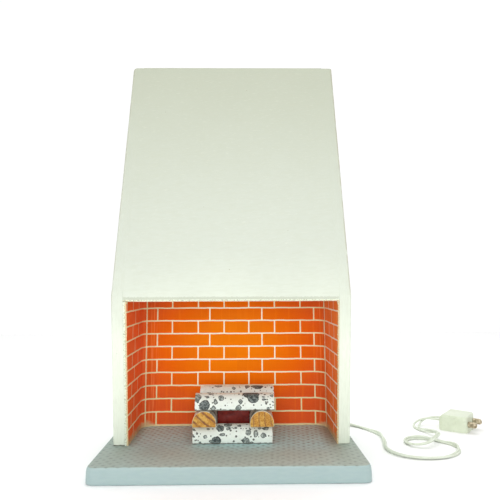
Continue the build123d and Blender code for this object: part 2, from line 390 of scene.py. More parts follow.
class Look:
    """One material and the nodes that drive its shader.  Places are read in millimetres."""

    def __init__(self, name, roughness=0.5, specular=0.5, coat=0.0):
        self.material = bpy.data.materials.new(name)
        self.material.use_nodes = True
        self.tree = self.material.node_tree
        self.shader = self.tree.nodes["Principled BSDF"].inputs
        self.shader["Roughness"].default_value = roughness
        self.shader["Specular IOR Level"].default_value = specular
        self.shader["Coat Weight"].default_value = coat
        coordinates = self.node("ShaderNodeTexCoord").outputs["Object"]
        scaled = self.node("ShaderNodeVectorMath", {0: coordinates, "Scale": 1 / MM}, operation="SCALE")
        self.place = scaled.outputs[0]

    def node(self, kind, feeds=(), **settings):
        """A new node with its settings made and its inputs fed, by name or by number."""
        made = self.tree.nodes.new(kind)
        for key, value in settings.items():
            setattr(made, key, value)
        for key, value in dict(feeds).items():
            self.feed(made.inputs[key], value)
        return made

    def feed(self, socket, value):
        """Give a socket another node's output or a plain value."""
        if isinstance(value, Value):
            value = value.socket
        if isinstance(value, bpy.types.NodeSocket):
            self.tree.links.new(value, socket)
        else:
            socket.default_value = value

    def math(self, operation, *values):
        return Value(self, self.node("ShaderNodeMath", enumerate(values), operation=operation).outputs[0])

    def mix(self, first, second, share):
        """A colour between two colours."""
        feeds = {0: share, 6: screen_colour(first), 7: screen_colour(second)}
        return Value(self, self.node("ShaderNodeMix", feeds, data_type="RGBA").outputs[2])

    def stretched(self, x, y, z, turn=(0, 0, 0), shift=(0, 0, 0)):
        """The place turned by degrees, scaled along each axis, then shifted."""
        radians = [math.radians(angle) for angle in turn]
        turned = self.node("ShaderNodeMapping", {"Vector": self.place, "Rotation": radians}).outputs[0]
        feeds = {"Vector": turned, "Scale": (x, y, z), "Location": shift}
        return self.node("ShaderNodeMapping", feeds).outputs[0]

    def part_of(self, vector, index):
        return Value(self, self.node("ShaderNodeSeparateXYZ", {0: vector}).outputs[index])

    def axis(self, index):
        """One coordinate of the place, in millimetres."""
        return self.part_of(self.place, index)

    def normal(self):
        return self.node("ShaderNodeNewGeometry").outputs["Normal"]

    def join(self, x, y):
        """A vector from two values."""
        return self.node("ShaderNodeCombineXYZ", {0: x, 1: y}).outputs[0]

    def noise(self, scale, detail=2.0, at=None, roughness=0.5):
        """Cloudy noise, 0 to 1.  The scale is in features per millimetre."""
        feeds = {"Vector": at or self.place, "Scale": scale, "Detail": detail, "Roughness": roughness}
        return Value(self, self.node("ShaderNodeTexNoise", feeds).outputs["Fac"])

    def sway(self, reach, scale, detail=2.0, at=None, roughness=0.5, middle=0.5):
        """Cloudy noise about nought, as wide as its reach."""
        return (self.noise(scale, detail, at, roughness) - middle) * reach

    def cells(self, scale, at=None, output="Distance"):
        """Cell noise: the distance to the nearest cell's middle, or the cell's own colour."""
        made = self.node("ShaderNodeTexVoronoi", {"Vector": at or self.place, "Scale": scale})
        return Value(self, made.outputs[output])

    def bands(self, direction, at, scale, distortion, detail_scale=1.0):
        """Wavering bands, 0 to 1."""
        feeds = {"Vector": at, "Scale": scale, "Distortion": distortion, "Detail": 3.0,
                 "Detail Scale": detail_scale}
        made = self.node("ShaderNodeTexWave", feeds, wave_type="BANDS", bands_direction=direction)
        return Value(self, made.outputs["Fac"])

    def held(self, name):
        """A number that the mesh holds."""
        return Value(self, self.node("ShaderNodeAttribute", attribute_name=name).outputs["Fac"])

    def edge_mask(self, radius):
        """1 along the outer edges of the piece and 0 on its flats."""
        rounded = self.node("ShaderNodeBevel", {"Radius": radius * MM}, samples=6).outputs[0]
        product = self.node("ShaderNodeVectorMath", {0: rounded, 1: self.normal()}, operation="DOT_PRODUCT")
        return Value(self, product.outputs["Value"]).fade(0.98, 0.8)

    def paint(self, body, roughness=None, height=None, depth=0.02):
        """Send a colour, a roughness and a height, in depths of a millimetre, to the shader."""
        self.feed(self.shader["Base Color"], body)
        if roughness is not None:
            self.feed(self.shader["Roughness"], roughness)
        if height is not None:
            bump = self.node("ShaderNodeBump", {"Strength": 1.0, "Distance": depth * MM, "Height": height})
            self.feed(self.shader["Normal"], bump.outputs[0])
        return self.material


# Where the painted boards are, in millimetres.
BASE_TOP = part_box("hearth_base")[1].z / MM
LIP_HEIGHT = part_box("lintel_batten")[0].z / MM      # the hood's lower edge
OUTER_LEFT, OPENING_LEFT = [corner.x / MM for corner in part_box("side_panel_left")]
OPENING_RIGHT, OUTER_RIGHT = [corner.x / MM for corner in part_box("side_panel_right")]


def painted_wood():
    """Cream-white paint, brushed up the side boards and across the hood, with painted shade that makes it
    darker and yellower towards the top.
    """
    look = Look("cream_paint", specular=0.2)
    across, up = look.axis(0), look.axis(2)
    between = across.fade(OPENING_LEFT, OPENING_LEFT + 0.3) * across.fade(OPENING_RIGHT, OPENING_RIGHT - 0.3)
    upright = 1.0 - between
    strokes = (upright * look.noise(1.0, 3, look.stretched(2.2, 2.2, 0.12))
               + between * look.noise(1.0, 3, look.stretched(0.3, 1.0, 1.5, (0, 4, 0))))
    hairs = (upright * look.noise(1.0, 2, look.stretched(7.0, 7.0, 0.25))
             + between * look.noise(1.0, 3, look.stretched(0.7, 2.0, 4.5, (0, 3, 0))))
    cloudy_up = up + look.sway(14, 0.05, 3)
    # A band round the hood's lip is made a little darker.
    below_lip = cloudy_up.fade(LIP_HEIGHT + 18, LIP_HEIGHT + 2)
    near_lip = below_lip * cloudy_up.fade(LIP_HEIGHT - 14, LIP_HEIGHT - 2)
    # Painted shade: darker and yellower towards the hood's top, where less light falls.
    body = look.mix((227, 234, 218), (202, 208, 196), cloudy_up.fade(38, 64))
    body = body.tint((194, 200, 188), near_lip * 0.33)
    body = body.tint((186, 191, 173), cloudy_up.fade(50, 140))
    body = body.tint((186, 190, 166), strokes.fade(0.35, 0.75, 0, 0.15))
    body = body.tint((236, 238, 226), hairs.fade(0.55, 0.8, 0, 0.2))
    body = body.tint((150, 145, 120), look.cells(0.16).fade(0.035, 0.02) * 0.5)
    body = body.tint((190, 182, 146), rubbed_edges(look, across, up) * 0.45)
    # A darker brown band along the hood's outer arrises.
    body = body.tint((158, 148, 112), darker_outer_edges(look, across, cloudy_up) * 0.5)
    ragged = look.sway(0.9, 2.2, 4)
    above_lip = up + ragged - LIP_HEIGHT
    # Painted shade: a thin darker line along the hood's lip, across the opening.
    lip_shade_line = above_lip.fade(-0.1, 0.2) * above_lip.fade(0.95, 0.6) * between
    body = body.tint((158, 164, 140), lip_shade_line * 0.4)
    # Painted contact shadow: the boards darken just above the hearth, most of all on the left.
    above_foot = up + ragged * 0.35 - BASE_TOP
    body = body.tint((72, 68, 54), above_foot.fade(0.36, 0.12) * across.fade(5, -5, 0.3, 0.9))
    height = strokes * 0.6 + hairs * 0.25 + look.noise(4.0, 2) * 0.12
    return look.paint(body, strokes.fade(0.2, 0.8, 0.38, 0.55), height, depth=0.035)


def rubbed_edges(look, across, up):
    """1 where the boards' edges are rubbed, except along the hood's filled seams."""
    off_middle = abs(across - (OPENING_LEFT + OPENING_RIGHT) / 2)
    from_seam = abs(off_middle - (OPENING_RIGHT - OPENING_LEFT) / 2)
    open_edge = look.math("MAXIMUM", from_seam.fade(0.5, 0.8), up.fade(LIP_HEIGHT + 3, LIP_HEIGHT))
    return look.edge_mask(0.35) * look.noise(0.5, 4).fade(0.45, 0.62) * open_edge


def darker_outer_edges(look, across, cloudy_up):
    """1 along the outer arrises of the hood's front, from about the lip upwards, most of all on the right,
    where the paint is tinted a darker brown.
    """
    facing_front = look.part_of(look.normal(), 1).fade(-0.2, -0.6)
    left = across.fade(OUTER_LEFT + 0.5, OUTER_LEFT + 0.1) * 0.7
    right = across.fade(OUTER_RIGHT - 0.6, OUTER_RIGHT - 0.15)
    return (left + right) * facing_front * look.noise(0.25, 4).fade(0.36, 0.56) * cloudy_up.fade(44, 52)


def painted_hardboard():
    """Blue-grey paint, smooth on the edges of the board and worn warmer on its dimpled top. Inside the
    firebox the top is painted paler and bluer: painted light against the shade and the bricks' red reflected
    light there.
    """
    look = Look("blue_grey_paint", specular=0.4)
    top = look.part_of(look.normal(), 2).fade(0.55, 0.9)
    clouds = look.noise(0.06, 3)
    streaks = look.noise(1.0, 3, look.stretched(0.35, 0.35, 1.6))
    side = look.mix((162, 182, 180), (157, 178, 178), streaks.fade(0.3, 0.7))
    side = side.tint((154, 178, 172), look.noise(0.35, 3).fade(0.5, 0.75, 0, 0.4))
    # Painted light: further into the firebox the top is painted paler and bluer.
    inside = abs(look.axis(0)).fade(32, 27)
    inward = (look.axis(1) + clouds * 10).fade(-12, 8) * inside
    upper = look.mix((156, 175, 169), (171, 184, 175), (look.axis(0) + clouds * 18).fade(-34, 6))
    upper = upper.tint((188, 236, 240), inward)
    upper = upper.tint((142, 150, 136), 0.35 - inside * 0.35)
    upper = upper.tint((138, 142, 132), look.noise(0.9, 4).fade(0.42, 0.75, 0, 0.4))
    upper = upper.tint((92, 98, 94), look.held("dimple") * inward.fade(0.0, 0.8, 0.62, 0.95))
    worn = look.edge_mask(0.3) * look.noise(0.8, 4).fade(0.62, 0.68)
    body = look.mix(side, upper, top).tint((150, 120, 84), worn * 0.8)
    height = look.noise(5.0, 3) * 0.25 + streaks * 0.2
    return look.paint(body, top.fade(0, 1, 0.42, 0.6), height, depth=0.03)


def raw_hardboard():
    """Brown pressed fibre board, smooth and slightly hairy."""
    look = Look("raw_hardboard", roughness=0.7, specular=0.2)
    fibre = look.noise(2.6, 4, look.stretched(1.0, 1.0, 0.7, (0, 24, 0)), roughness=0.6)
    fleck = look.cells(1.4, look.stretched(0.6, 0.6, 1.5, (0, 60, 0)))
    body = look.mix((156, 118, 80), (174, 136, 96), fibre.fade(0.25, 0.75))
    body = body.tint((110, 78, 50), fleck.fade(0.12, 0.05, 0, 0.4))
    body = body.tint((140, 104, 70), look.noise(0.04, 3).fade(0.35, 0.75, 0, 0.25))
    return look.paint(body, fibre.fade(0.2, 0.8, 0.6, 0.8), fibre, depth=0.015)


def bare_wood():
    """Plain softwood with the grain along x."""
    look = Look("softwood", roughness=0.65, specular=0.2)
    along = look.stretched(0.08, 1.0, 1.0)
    wave = look.bands("Y", along, 0.55, 4.0)
    pores = look.noise(5.0, 3, along)
    body = look.mix((214, 180, 132), (176, 134, 86), wave.fade(0.2, 0.9))
    body = body.tint((176, 134, 86), pores.fade(0.5, 0.75, 0, 0.5))
    return look.paint(body, pores.fade(0.3, 0.7, 0.55, 0.75), wave * 0.4 + pores, depth=0.03)


def plain_card():
    """Grey-brown pasteboard, fibrous, with some of the cream paint on its front edge."""
    look = Look("plain_card", roughness=0.8, specular=0.15)
    fibre = look.noise(3.5, 4)
    blots = look.noise(0.4, 3)
    body = look.mix((190, 170, 132), (160, 138, 102), fibre.fade(0.35, 0.7))
    body = body.tint((205, 190, 155), blots.fade(0.45, 0.7, 0, 0.5))
    body = body.tint((232, 238, 224), (look.axis(1) + blots * 0.6).fade(-12.9, -13.5))
    return look.paint(body, fibre.fade(0.3, 0.7, 0.7, 0.9), fibre, depth=0.04)


def bead_paint():
    """Paint that ran into the card's edges: cream at the boards, tan with glue at the bricks."""
    look = Look("bead_paint", specular=0.2)
    across = look.held("across") + look.sway(0.7, 1.6, 4)
    grime = look.noise(2.4, 4)
    body = look.mix((224, 231, 213), (212, 206, 168), across.fade(0.35, 0.8))
    body = body.tint((206, 168, 120), across.fade(0.85, 1.1))
    body = body.tint((150, 148, 118), grime.fade(0.5, 0.62, 0, 0.6))
    return look.paint(body, grime.fade(0.3, 0.7, 0.4, 0.6), grime, depth=0.05)


# The brick print, in millimetres on the card.
COURSE = 4.3465                 # height of a course with its joint
FIRST_JOINT = 0.283             # above the hearth
HEADER = 8.931                  # width of a short brick with its joint
STRETCHER = 18.03               # width of a long brick with its joint
STRETCHER_SHIFT = 0.4           # how far left of the middle the long bricks are centred
MIDDLE_LOSS = 0.4               # how much narrower the middle short brick is
JOINT = 0.44                    # width of a joint
CORNER = 3.5 * HEADER           # where the card's bends are, to either side


def joint_distance(look, value, period):
    """Distance in millimetres to the nearest of the evenly spaced joints."""
    cycles = value / period
    return abs(cycles - look.math("ROUND", cycles)) * period


def brick_joints(look, along, up, course):
    """1 on the joints of the brick print and 0 on its bricks."""
    odd = abs(look.math("MODULO", course, 2.0))
    level = joint_distance(look, up - FIRST_JOINT, COURSE)
    long_bricks = joint_distance(look, along + (STRETCHER / 2 + STRETCHER_SHIFT), STRETCHER)
    right_half = look.math("GREATER_THAN", along, 0.0)
    short_bricks = joint_distance(look, along + right_half * MIDDLE_LOSS + HEADER / 2, HEADER)
    upright = long_bricks * (1.0 - odd) + short_bricks * odd
    upright = look.math("MINIMUM", upright, abs(abs(along) - CORNER))
    nearest = look.math("SMOOTH_MIN", level, upright, 0.35) + look.sway(0.09, 4.0, 3)
    return nearest.fade(JOINT / 2 + 0.05, JOINT / 2 - 0.05)


def brick_print():
    """Orange-red bricks with cream joints printed on satin card, with a painted glow of light that is
    brightest above the logs.
    """
    look = Look("brick_print", specular=0.02)
    along = look.held("print_along") + look.sway(0.1, 1.3)
    up = look.held("print_up") + look.sway(0.35, 0.25)
    course = look.math("FLOOR", (up - FIRST_JOINT) / COURSE)
    joint = brick_joints(look, along, up, course)
    # Painted light: a glow centred above the logs makes the ink more orange and the joints paler there.
    sideways = look.math("POWER", (along + 1.2) / 27.0, 2.0)
    upwards = look.math("POWER", (up - 27.0) / 17.0, 2.0)
    glow = look.math("EXPONENT", (sideways + upwards) * -1.0)
    to_right = along.fade(-1, 1)
    sides = abs(along).fade(CORNER - 0.2 * HEADER, CORNER + 0.4 * HEADER)
    ink = look.mix((222, 90, 44), (238, 108, 8), glow.fade(0.04, 0.5))
    ink = ink.tint((247, 132, 2), glow.fade(0.35, 0.95))
    # Painted light: the side walls' ink is painted lighter than the back wall's, more so on the right.
    ink = ink.tint(look.mix((255, 114, 60), (255, 142, 72), to_right), sides)
    brick = look.join(look.math("FLOOR", along / HEADER), course)
    own_tint = look.node("ShaderNodeTexWhiteNoise", {"Vector": brick}, noise_dimensions="2D")
    ink = ink.tint((190, 60, 22), Value(look, own_tint.outputs["Value"]) * 0.12)
    grain = look.noise(7.0, 2)
    ink = ink.tint((255, 158, 20), grain.fade(0.45, 0.7, 0, 0.14))
    streaks = look.noise(1.0, 2, look.stretched(1.4, 1.4, 0.04))
    ink = ink.tint((255, 148, 30), streaks.fade(0.55, 0.72, 0, 0.16))
    # Painted highlight: soft upright streaks of reflected light near the card's bends.
    bend = (abs(along).fade(CORNER - 0.6 * HEADER, CORNER - 0.3 * HEADER)
            * abs(along).fade(CORNER + 0.4 * HEADER, CORNER))
    bend_highlights = look.noise(1.0, 3, look.stretched(2.6, 2.6, 0.05)).fade(0.5, 0.66)
    ink = ink.tint((255, 158, 96), bend * bend_highlights * 0.4)
    mortar = look.mix((230, 232, 180), (255, 255, 230), glow.fade(0.05, 0.7))
    # Painted light: the side walls' joints are painted lighter too, more so on the right.
    mortar = mortar.tint(look.mix((250, 245, 205), (255, 255, 238), to_right), sides)
    corner = abs(along).fade(CORNER - 0.6 * HEADER, CORNER + 0.1 * HEADER)
    glue_height = look.noise(0.8, 4) * 2.6 * (corner * 1.15 + 0.25)
    body = look.mix(ink, mortar, joint)
    body = body.tint((214, 190, 146), (up - glue_height).fade(0.8, -0.9) * 0.85)
    height = joint * -0.2 + grain * 0.15 + streaks * 0.5
    return look.paint(body, look.noise(0.5, 3).fade(0.3, 0.7, 0.36, 0.5), height, depth=0.03)


def birch_paper(name, white):
    """White paper printed with grey-green birch spots; the mesh holds the distance to each spot."""
    look = Look(name, specular=0.2)
    flat = look.join(look.held("bark_along"), look.held("bark_round"))
    lobes = look.sway(1.0, 0.75, 2, flat, middle=0.45)
    jagged = look.sway(0.45, 3.4, 3, flat, 0.65)
    depth = lobes + jagged - look.held("spot_distance")
    spot = depth.fade(-0.04, 0.08)
    rim = spot * depth.fade(0.32, 0.12)
    mottle = look.noise(1.1, 4, flat, 0.7)
    small = look.held("spot_size").fade(1.2, 0.9)
    dark = look.mix((62, 70, 69), (108, 116, 112), small)
    light = look.mix((134, 144, 140), (186, 196, 188), small)
    inside = look.mix(dark, light, mottle.fade(0.42, 0.62)).tint((48, 52, 50), rim * 0.85)
    body = look.mix(white, (206, 208, 196), look.noise(1.1, 4, flat).fade(0.45, 0.8, 0, 0.35))
    groups = look.noise(0.35, 2, flat).fade(0.4, 0.6)
    for scale, widest in ((0.6, 0.34), (1.15, 0.24)):
        chosen = look.cells(scale, flat, "Color") * (groups * 0.5 + 0.7)
        reach = chosen.fade(0.3, 0.6, 0.0, widest * scale)
        dot = look.cells(scale, flat) + look.sway(0.12, 5.0, 2, flat) - reach
        body = body.tint((62, 62, 56), dot.fade(0.03, -0.03) * 0.9)
    body = body.tint(inside, spot)
    # Painted shade: a ragged dark band along the paper's lower edges, where the log sits.
    lower_edge_shade = look.held("edge_distance") - look.noise(2.0, 3, flat) * 0.7
    body = body.tint((74, 70, 60), lower_edge_shade.fade(0.1, -0.15, 0, 0.8))
    height = look.noise(3.0, 3, flat) + spot * -0.4
    return look.paint(body, mottle.fade(0.3, 0.7, 0.42, 0.58), height, depth=0.02)


def paper_edge():
    """The cut edge and the back of the bark paper and the brick card."""
    look = Look("paper_edge", roughness=0.85, specular=0.1)
    fibre = look.noise(4.0, 4)
    body = look.mix((226, 206, 164), (190, 166, 122), fibre.fade(0.35, 0.7))
    return look.paint(body, fibre.fade(0.3, 0.7, 0.75, 0.95), fibre, depth=0.04)


def log_wood(name, turn, seed, strength):
    """Ochre wood with soft purple-brown strokes of grain across the sawn ends."""
    look = Look(name, roughness=0.6, specular=0.15)
    grain = look.stretched(1.0, 0.06, 1.0, turn, (seed, 0.0, seed))
    wave = look.bands("X", grain, 0.17, 3.2, 0.8)
    fine = look.noise(2.4, 4, grain, 0.7)
    stroke = wave.fade(0.66, 0.97) * look.noise(0.55, 3).fade(0.3, 0.55, 0.35, 1.0)
    body = look.mix((208, 157, 76), (170, 114, 46), fine.fade(0.35, 0.65))
    body = body.tint((220, 179, 94), look.noise(1.3, 4).fade(0.48, 0.62, 0, 0.7))
    body = body.tint((112, 62, 60), stroke * strength)
    return look.paint(body, fine.fade(0.3, 0.7, 0.5, 0.7), fine + stroke * -0.5, depth=0.05)


def red_film():
    """Dark red film, glossy and crumpled."""
    look = Look("red_film", specular=0.15)
    body = look.mix((134, 41, 32), (104, 30, 25), look.noise(0.5, 3).fade(0.35, 0.7))
    creases = look.noise(0.9, 4, look.stretched(0.5, 1.0, 1.4))
    return look.paint(body, creases.fade(0.3, 0.7, 0.32, 0.5), creases, depth=0.06)


def clear_glass():
    """Thin clear glass with a faint bloom."""
    look = Look("bulb_glass", roughness=0.05)
    look.shader["Transmission Weight"].default_value = 0.92
    look.shader["IOR"].default_value = 1.3
    bloom = look.noise(0.8, 3)
    body = look.mix((255, 255, 252.7), (243.4, 243.4, 238.6), bloom.fade(0.3, 0.7))
    return look.paint(body, bloom.fade(0.4, 0.8, 0.03, 0.14))


def metal(name, bright, dull, roughness):
    """Handled metal with duller patches and fine turning marks."""
    look = Look(name)
    look.shader["Metallic"].default_value = 1.0
    patch = look.noise(0.9, 4)
    marks = look.noise(14.0, 2)
    rough = patch.fade(0.3, 0.8, roughness, roughness + 0.2) + marks * 0.06
    return look.paint(look.mix(bright, dull, patch.fade(0.35, 0.7)), rough, marks, depth=0.01)


def plastic(name, main, shade, roughness, coat=0.0):
    """Moulded plastic: nearly one colour, clouded a little, with a faint skin."""
    look = Look(name, specular=0.4, coat=coat)
    skin = look.noise(3.0, 3)
    body = look.mix(main, shade, look.noise(0.25, 3).fade(0.3, 0.7))
    body = body.tint(look.mix(shade, (120, 112, 88), 0.5), look.noise(0.9, 4).fade(0.55, 0.75) * 0.25)
    return look.paint(body, skin.fade(0.3, 0.7, roughness, roughness + 0.12), skin, depth=0.015)


CREAM = painted_wood()
BLUE_GREY = painted_hardboard()
HARDBOARD = raw_hardboard()
SOFTWOOD = bare_wood()
CARD = plain_card()
BEAD = bead_paint()
BRICKS = brick_print()
PAPER_EDGE = paper_edge()
FILM = red_film()
GLASS = clear_glass()
BRASS = metal("dull_brass", (212, 200, 174), (152, 140, 116), 0.42)
TUNGSTEN = metal("filament", (90, 88, 84), (60, 58, 56), 0.35)
BLACK_PLASTIC = plastic("black_plastic", (34, 33, 32), (24, 23, 22), 0.4)
BUSH_PLASTIC = plastic("bush_plastic", (214, 214, 200), (200, 198, 180), 0.4)
LEAD_PLASTIC = plastic("lead_plastic", (220, 227, 212), (209, 216, 198), 0.45)
PLUG_PLASTIC = plastic("plug_plastic", (216, 224, 202), (206, 214, 190), 0.32, coat=0.15)


# ======================================================================
# The base
# ======================================================================

DIMPLE_PITCH = (1.48, 1.42)     # millimetres between rows of dimples, across and along
DIMPLE_DEPTH = 0.13             # millimetres
DIMPLE_TURN = math.radians(5)
BASE_CORNER = 2.2 * MM
BASE_SWELL = 0.35 * MM          # how far the ends bulge below the top
BASE_ARRIS = 0.35 * MM
BASE_CELL = 0.27 * MM


def dimple_at(x, y):
    """How deep the screen texture is at a place, 0 to 1; dimples sit at every other crossing."""
    sway = noise.noise_vector(Vector((x, y, 0)) / (7 * MM))
    u = (x * math.cos(DIMPLE_TURN) - y * math.sin(DIMPLE_TURN)) / MM + 0.25 * sway.x
    v = (x * math.sin(DIMPLE_TURN) + y * math.cos(DIMPLE_TURN)) / MM + 0.25 * sway.y
    crossing = math.cos(math.pi * u / DIMPLE_PITCH[0]) * math.cos(math.pi * v / DIMPLE_PITCH[1])
    fill = 0.75 + 0.35 * noise_at(x, y, 0.01, 2.3 * MM)
    return max(crossing, 0.0) ** 2.2 * fill


def rounded_corner(x, y, left, right, front, radius):
    """Move a point of a square-cornered plan into one with rounded front corners."""
    centre_y = front + radius
    for corner_x, side in ((left + radius, -1), (right - radius, 1)):
        u = (x - corner_x) * side / radius
        v = (centre_y - y) / radius
        if u > 0 and v > 0:
            x = corner_x + side * radius * u * math.sqrt(1 - v * v / 2)
            y = centre_y - radius * v * math.sqrt(1 - u * u / 2)
            return x, y
    return x, y


class BasePlan:
    """The base's outline, and as many points along each side as its top has."""

    def __init__(self):
        self.low, self.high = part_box("hearth_base")
        left, right, front, back = self.sides(BASE_ARRIS)
        self.count_x = int((right - left) / BASE_CELL) + 1
        self.count_y = int((back - front) / BASE_CELL) + 1

    def sides(self, inset, swell=0.0):
        """Left, right, front and back, moved in by the inset; swell bulges the ends."""
        return (self.low.x + inset - swell, self.high.x - inset + swell,
                self.low.y + inset, self.high.y - inset)

    def top_rows(self):
        """The flat top, in rows from the front."""
        left, right, front, back = self.sides(BASE_ARRIS)
        rows = []
        for y in np.linspace(front, back, self.count_y):
            rows.append([(*rounded_corner(x, y, left, right, front, BASE_CORNER - BASE_ARRIS), self.high.z)
                         for x in np.linspace(left, right, self.count_x)])
        return rows

    def ring(self, inset, z, swell=0.0):
        """The outline at a height, anticlockwise from the front left corner."""
        left, right, front, back = self.sides(inset, swell)
        xs = np.linspace(left, right, self.count_x)
        ys = np.linspace(front, back, self.count_y)
        outline = [(x, front) for x in xs[:-1]] + [(right, y) for y in ys[:-1]]
        outline += [(x, back) for x in xs[:0:-1]] + [(left, y) for y in ys[:0:-1]]
        return [(*rounded_corner(x, y, left, right, front, BASE_CORNER - inset), z) for x, y in outline]


def base_surface(plan):
    """The top, the rounded rim, the bulging edge and the underside."""
    bottom, top = plan.low.z, plan.high.z
    turns = [(1 - math.sin(a), 1 - math.cos(a)) for a in np.radians((0, 22.5, 45, 67.5, 90))]
    rings = [plan.ring(BASE_ARRIS * inset, top - BASE_ARRIS * drop) for inset, drop in turns]
    for share in (0.86, 0.8, 0.7, 0.55, 0.4, 0.25):
        rings.append(plan.ring(0, bottom + (top - bottom) * share, BASE_SWELL * (1 - share ** 5)))
    rings += [plan.ring(BASE_ARRIS * inset, bottom + BASE_ARRIS * rise, BASE_SWELL) for rise, inset in turns]
    surface = Surface()
    surface.grid(plan.top_rows())
    surface.grid(rings, closed=True)
    surface.cap(plan.ring(BASE_ARRIS, bottom, BASE_SWELL), look=1)
    return surface


def add_base():
    """The base board: a dimpled top, smooth painted edges and a raw underside."""
    plan = BasePlan()
    mesh = base_surface(plan).mesh("hearth_base_shape")
    depths = []
    for vertex in mesh.vertices:
        height = (vertex.co.z - (plan.high.z - BASE_ARRIS)) / BASE_ARRIS
        on_top = max(height, 0.0)
        depth = dimple_at(vertex.co.x, vertex.co.y) * on_top
        swell = 0.03 * noise_at(*vertex.co, 6 * MM) * on_top
        vertex.co.z -= (DIMPLE_DEPTH * depth + max(swell, -0.02) + 0.02 * on_top) * MM
        depths.append(depth)
        if height <= 0 and vertex.co.z > plan.low.z + 0.1 * MM:
            nudge = unevenness(vertex.co, 8 * MM, 3) * 0.05 * MM
            vertex.co += Vector((nudge.x, nudge.y, 0))
    set_values(mesh, dimple=depths)
    add_piece("hearth_base_finished", mesh, [BLUE_GREY, HARDBOARD], "painted_hardboard",
              ["hearth_base"], sharp=70)


# ======================================================================
# The mantel boards and the firebox
# ======================================================================

def add_boards():
    """The painted boards of the mantel, its bare back and the pieces hidden behind the hood."""
    boards = [
        ("side_panel_left", CREAM, "painted_wood", 0.16, 0.03),
        ("side_panel_right", CREAM, "painted_wood", 0.16, 0.03),
        ("hood_front", CREAM, "painted_wood", 0.13, 0.03),
        ("hood_top", CREAM, "painted_wood", 0.13, 0.03),
        ("back_panel", HARDBOARD, "back_board", 0.12, 0.03),
        ("firebox_ceiling", CARD, "plain_card", 0.1, 0.04),
        ("lintel_batten", SOFTWOOD, "bare_wood", 0.12, 0.03),
    ]
    for seed, (node, look, slot, arris, uneven) in enumerate(boards, start=1):
        add_board(node, look, slot, arris * MM, uneven * MM, seed)


PRINT_MIDDLE = 1.68 * MM        # the print's middle joint, on the back wall
CARD_CORNER = 4.0 * MM          # inner radius of the card's two bends
CARD_THICKNESS = 0.35 * MM
CARD_CELL = 0.5 * MM


def front_profile(node):
    """Corners (y, z) of a board's front seen from the side: its foot, its bend and its top."""
    points = [vertex.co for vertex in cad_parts[node].data.vertices]
    foot_z = min(point.z for point in points)
    foot_y = min(point.y for point in points if point.z < foot_z + 0.01 * MM)
    bend = min(points, key=lambda point: point.y)
    top_z = max(point.z for point in points)
    top_y = min(point.y for point in points if point.z > top_z - 0.01 * MM)
    return (foot_y, foot_z), (bend.y, bend.z), (top_y, top_z)


FOOT, BEND, _ = front_profile("side_panel_left")


def front_edge(z):
    """How far forward the side boards' front edges are at a height below the bend."""
    return FOOT[0] + (BEND[0] - FOOT[0]) * (z - FOOT[1]) / (BEND[1] - FOOT[1])


class CardPlan:
    """The plan of the bent brick card, measured along its printed face from the print's middle."""

    def __init__(self):
        low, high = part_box("brick_liner")
        self.left = low.x + CARD_THICKNESS
        self.right = high.x - CARD_THICKNESS
        self.back = high.y - CARD_THICKNESS
        self.bend_start = self.back - CARD_CORNER
        self.bottom = low.z
        self.top = high.z
        self.arc = CARD_CORNER * math.pi / 2
        self.left_flat = PRINT_MIDDLE - (self.left + CARD_CORNER)
        self.right_flat = (self.right - CARD_CORNER) - PRINT_MIDDLE

    def half(self, right):
        """The right or the left half: its side, the length of its flat and its wall's x."""
        return (1, self.right_flat, self.right) if right else (-1, self.left_flat, self.left)

    def place(self, along, out=0.0):
        """The plan point at a distance along the face, moved out of the firebox."""
        side, flat, wall_x = self.half(along > 0)
        distance = abs(along)
        if distance <= flat:
            return PRINT_MIDDLE + along, self.back + out
        if distance <= flat + self.arc:
            angle = (distance - flat) / CARD_CORNER
            radius = CARD_CORNER + out
            centre_x = wall_x - side * CARD_CORNER
            return centre_x + side * radius * math.sin(angle), self.bend_start + radius * math.cos(angle)
        return wall_x + side * out, self.bend_start - (distance - flat - self.arc)

    def along(self, x, y):
        """How far along the print a point of the card is."""
        side, flat, _ = self.half(x > PRINT_MIDDLE)
        beyond = (x - PRINT_MIDDLE) * side - flat
        if y <= self.bend_start:
            return side * (flat + self.arc + self.bend_start - y)
        if beyond <= 0:
            return x - PRINT_MIDDLE
        return side * (flat + CARD_CORNER * math.atan2(beyond, y - self.bend_start))

    def ends(self, z):
        """How far the card reaches along its face at a height, to the left and to the right."""
        straight = self.bend_start - front_edge(z)
        return -(self.left_flat + self.arc + straight), self.right_flat + self.arc + straight


def add_brick_card():
    """The card with its brick print: printed face, plain back and plain edges."""
    plan = CardPlan()
    left_end, right_end = plan.ends(plan.bottom)
    shares = np.linspace(0, 1, int((right_end - left_end) / CARD_CELL))
    printed = []
    plain = []
    for z in np.linspace(plan.bottom, plan.top, int((plan.top - plan.bottom) / CARD_CELL)):
        left_end, right_end = plan.ends(z)
        places = [left_end + (right_end - left_end) * share for share in shares]
        bulges = [0.07 * MM * noise_at(along, z, 0, 11 * MM) for along in places]
        printed.append([(*plan.place(along, max(bulge, 0.0)), z) for along, bulge in zip(places, bulges)])
        plain.append([(*plan.place(along, CARD_THICKNESS), z) for along in places])
    surface = Surface()
    surface.sheet(printed, plain, look=1)
    mesh = surface.mesh("brick_liner_shape")
    points = point_array(mesh)
    set_values(mesh, print_along=[plan.along(x, y) / MM for x, y, _ in points],
               print_up=(points[:, 2] - plan.bottom) / MM)
    add_piece("brick_liner_printed", mesh, [BRICKS, PAPER_EDGE], "brick_card", ["brick_liner"], sharp=50)


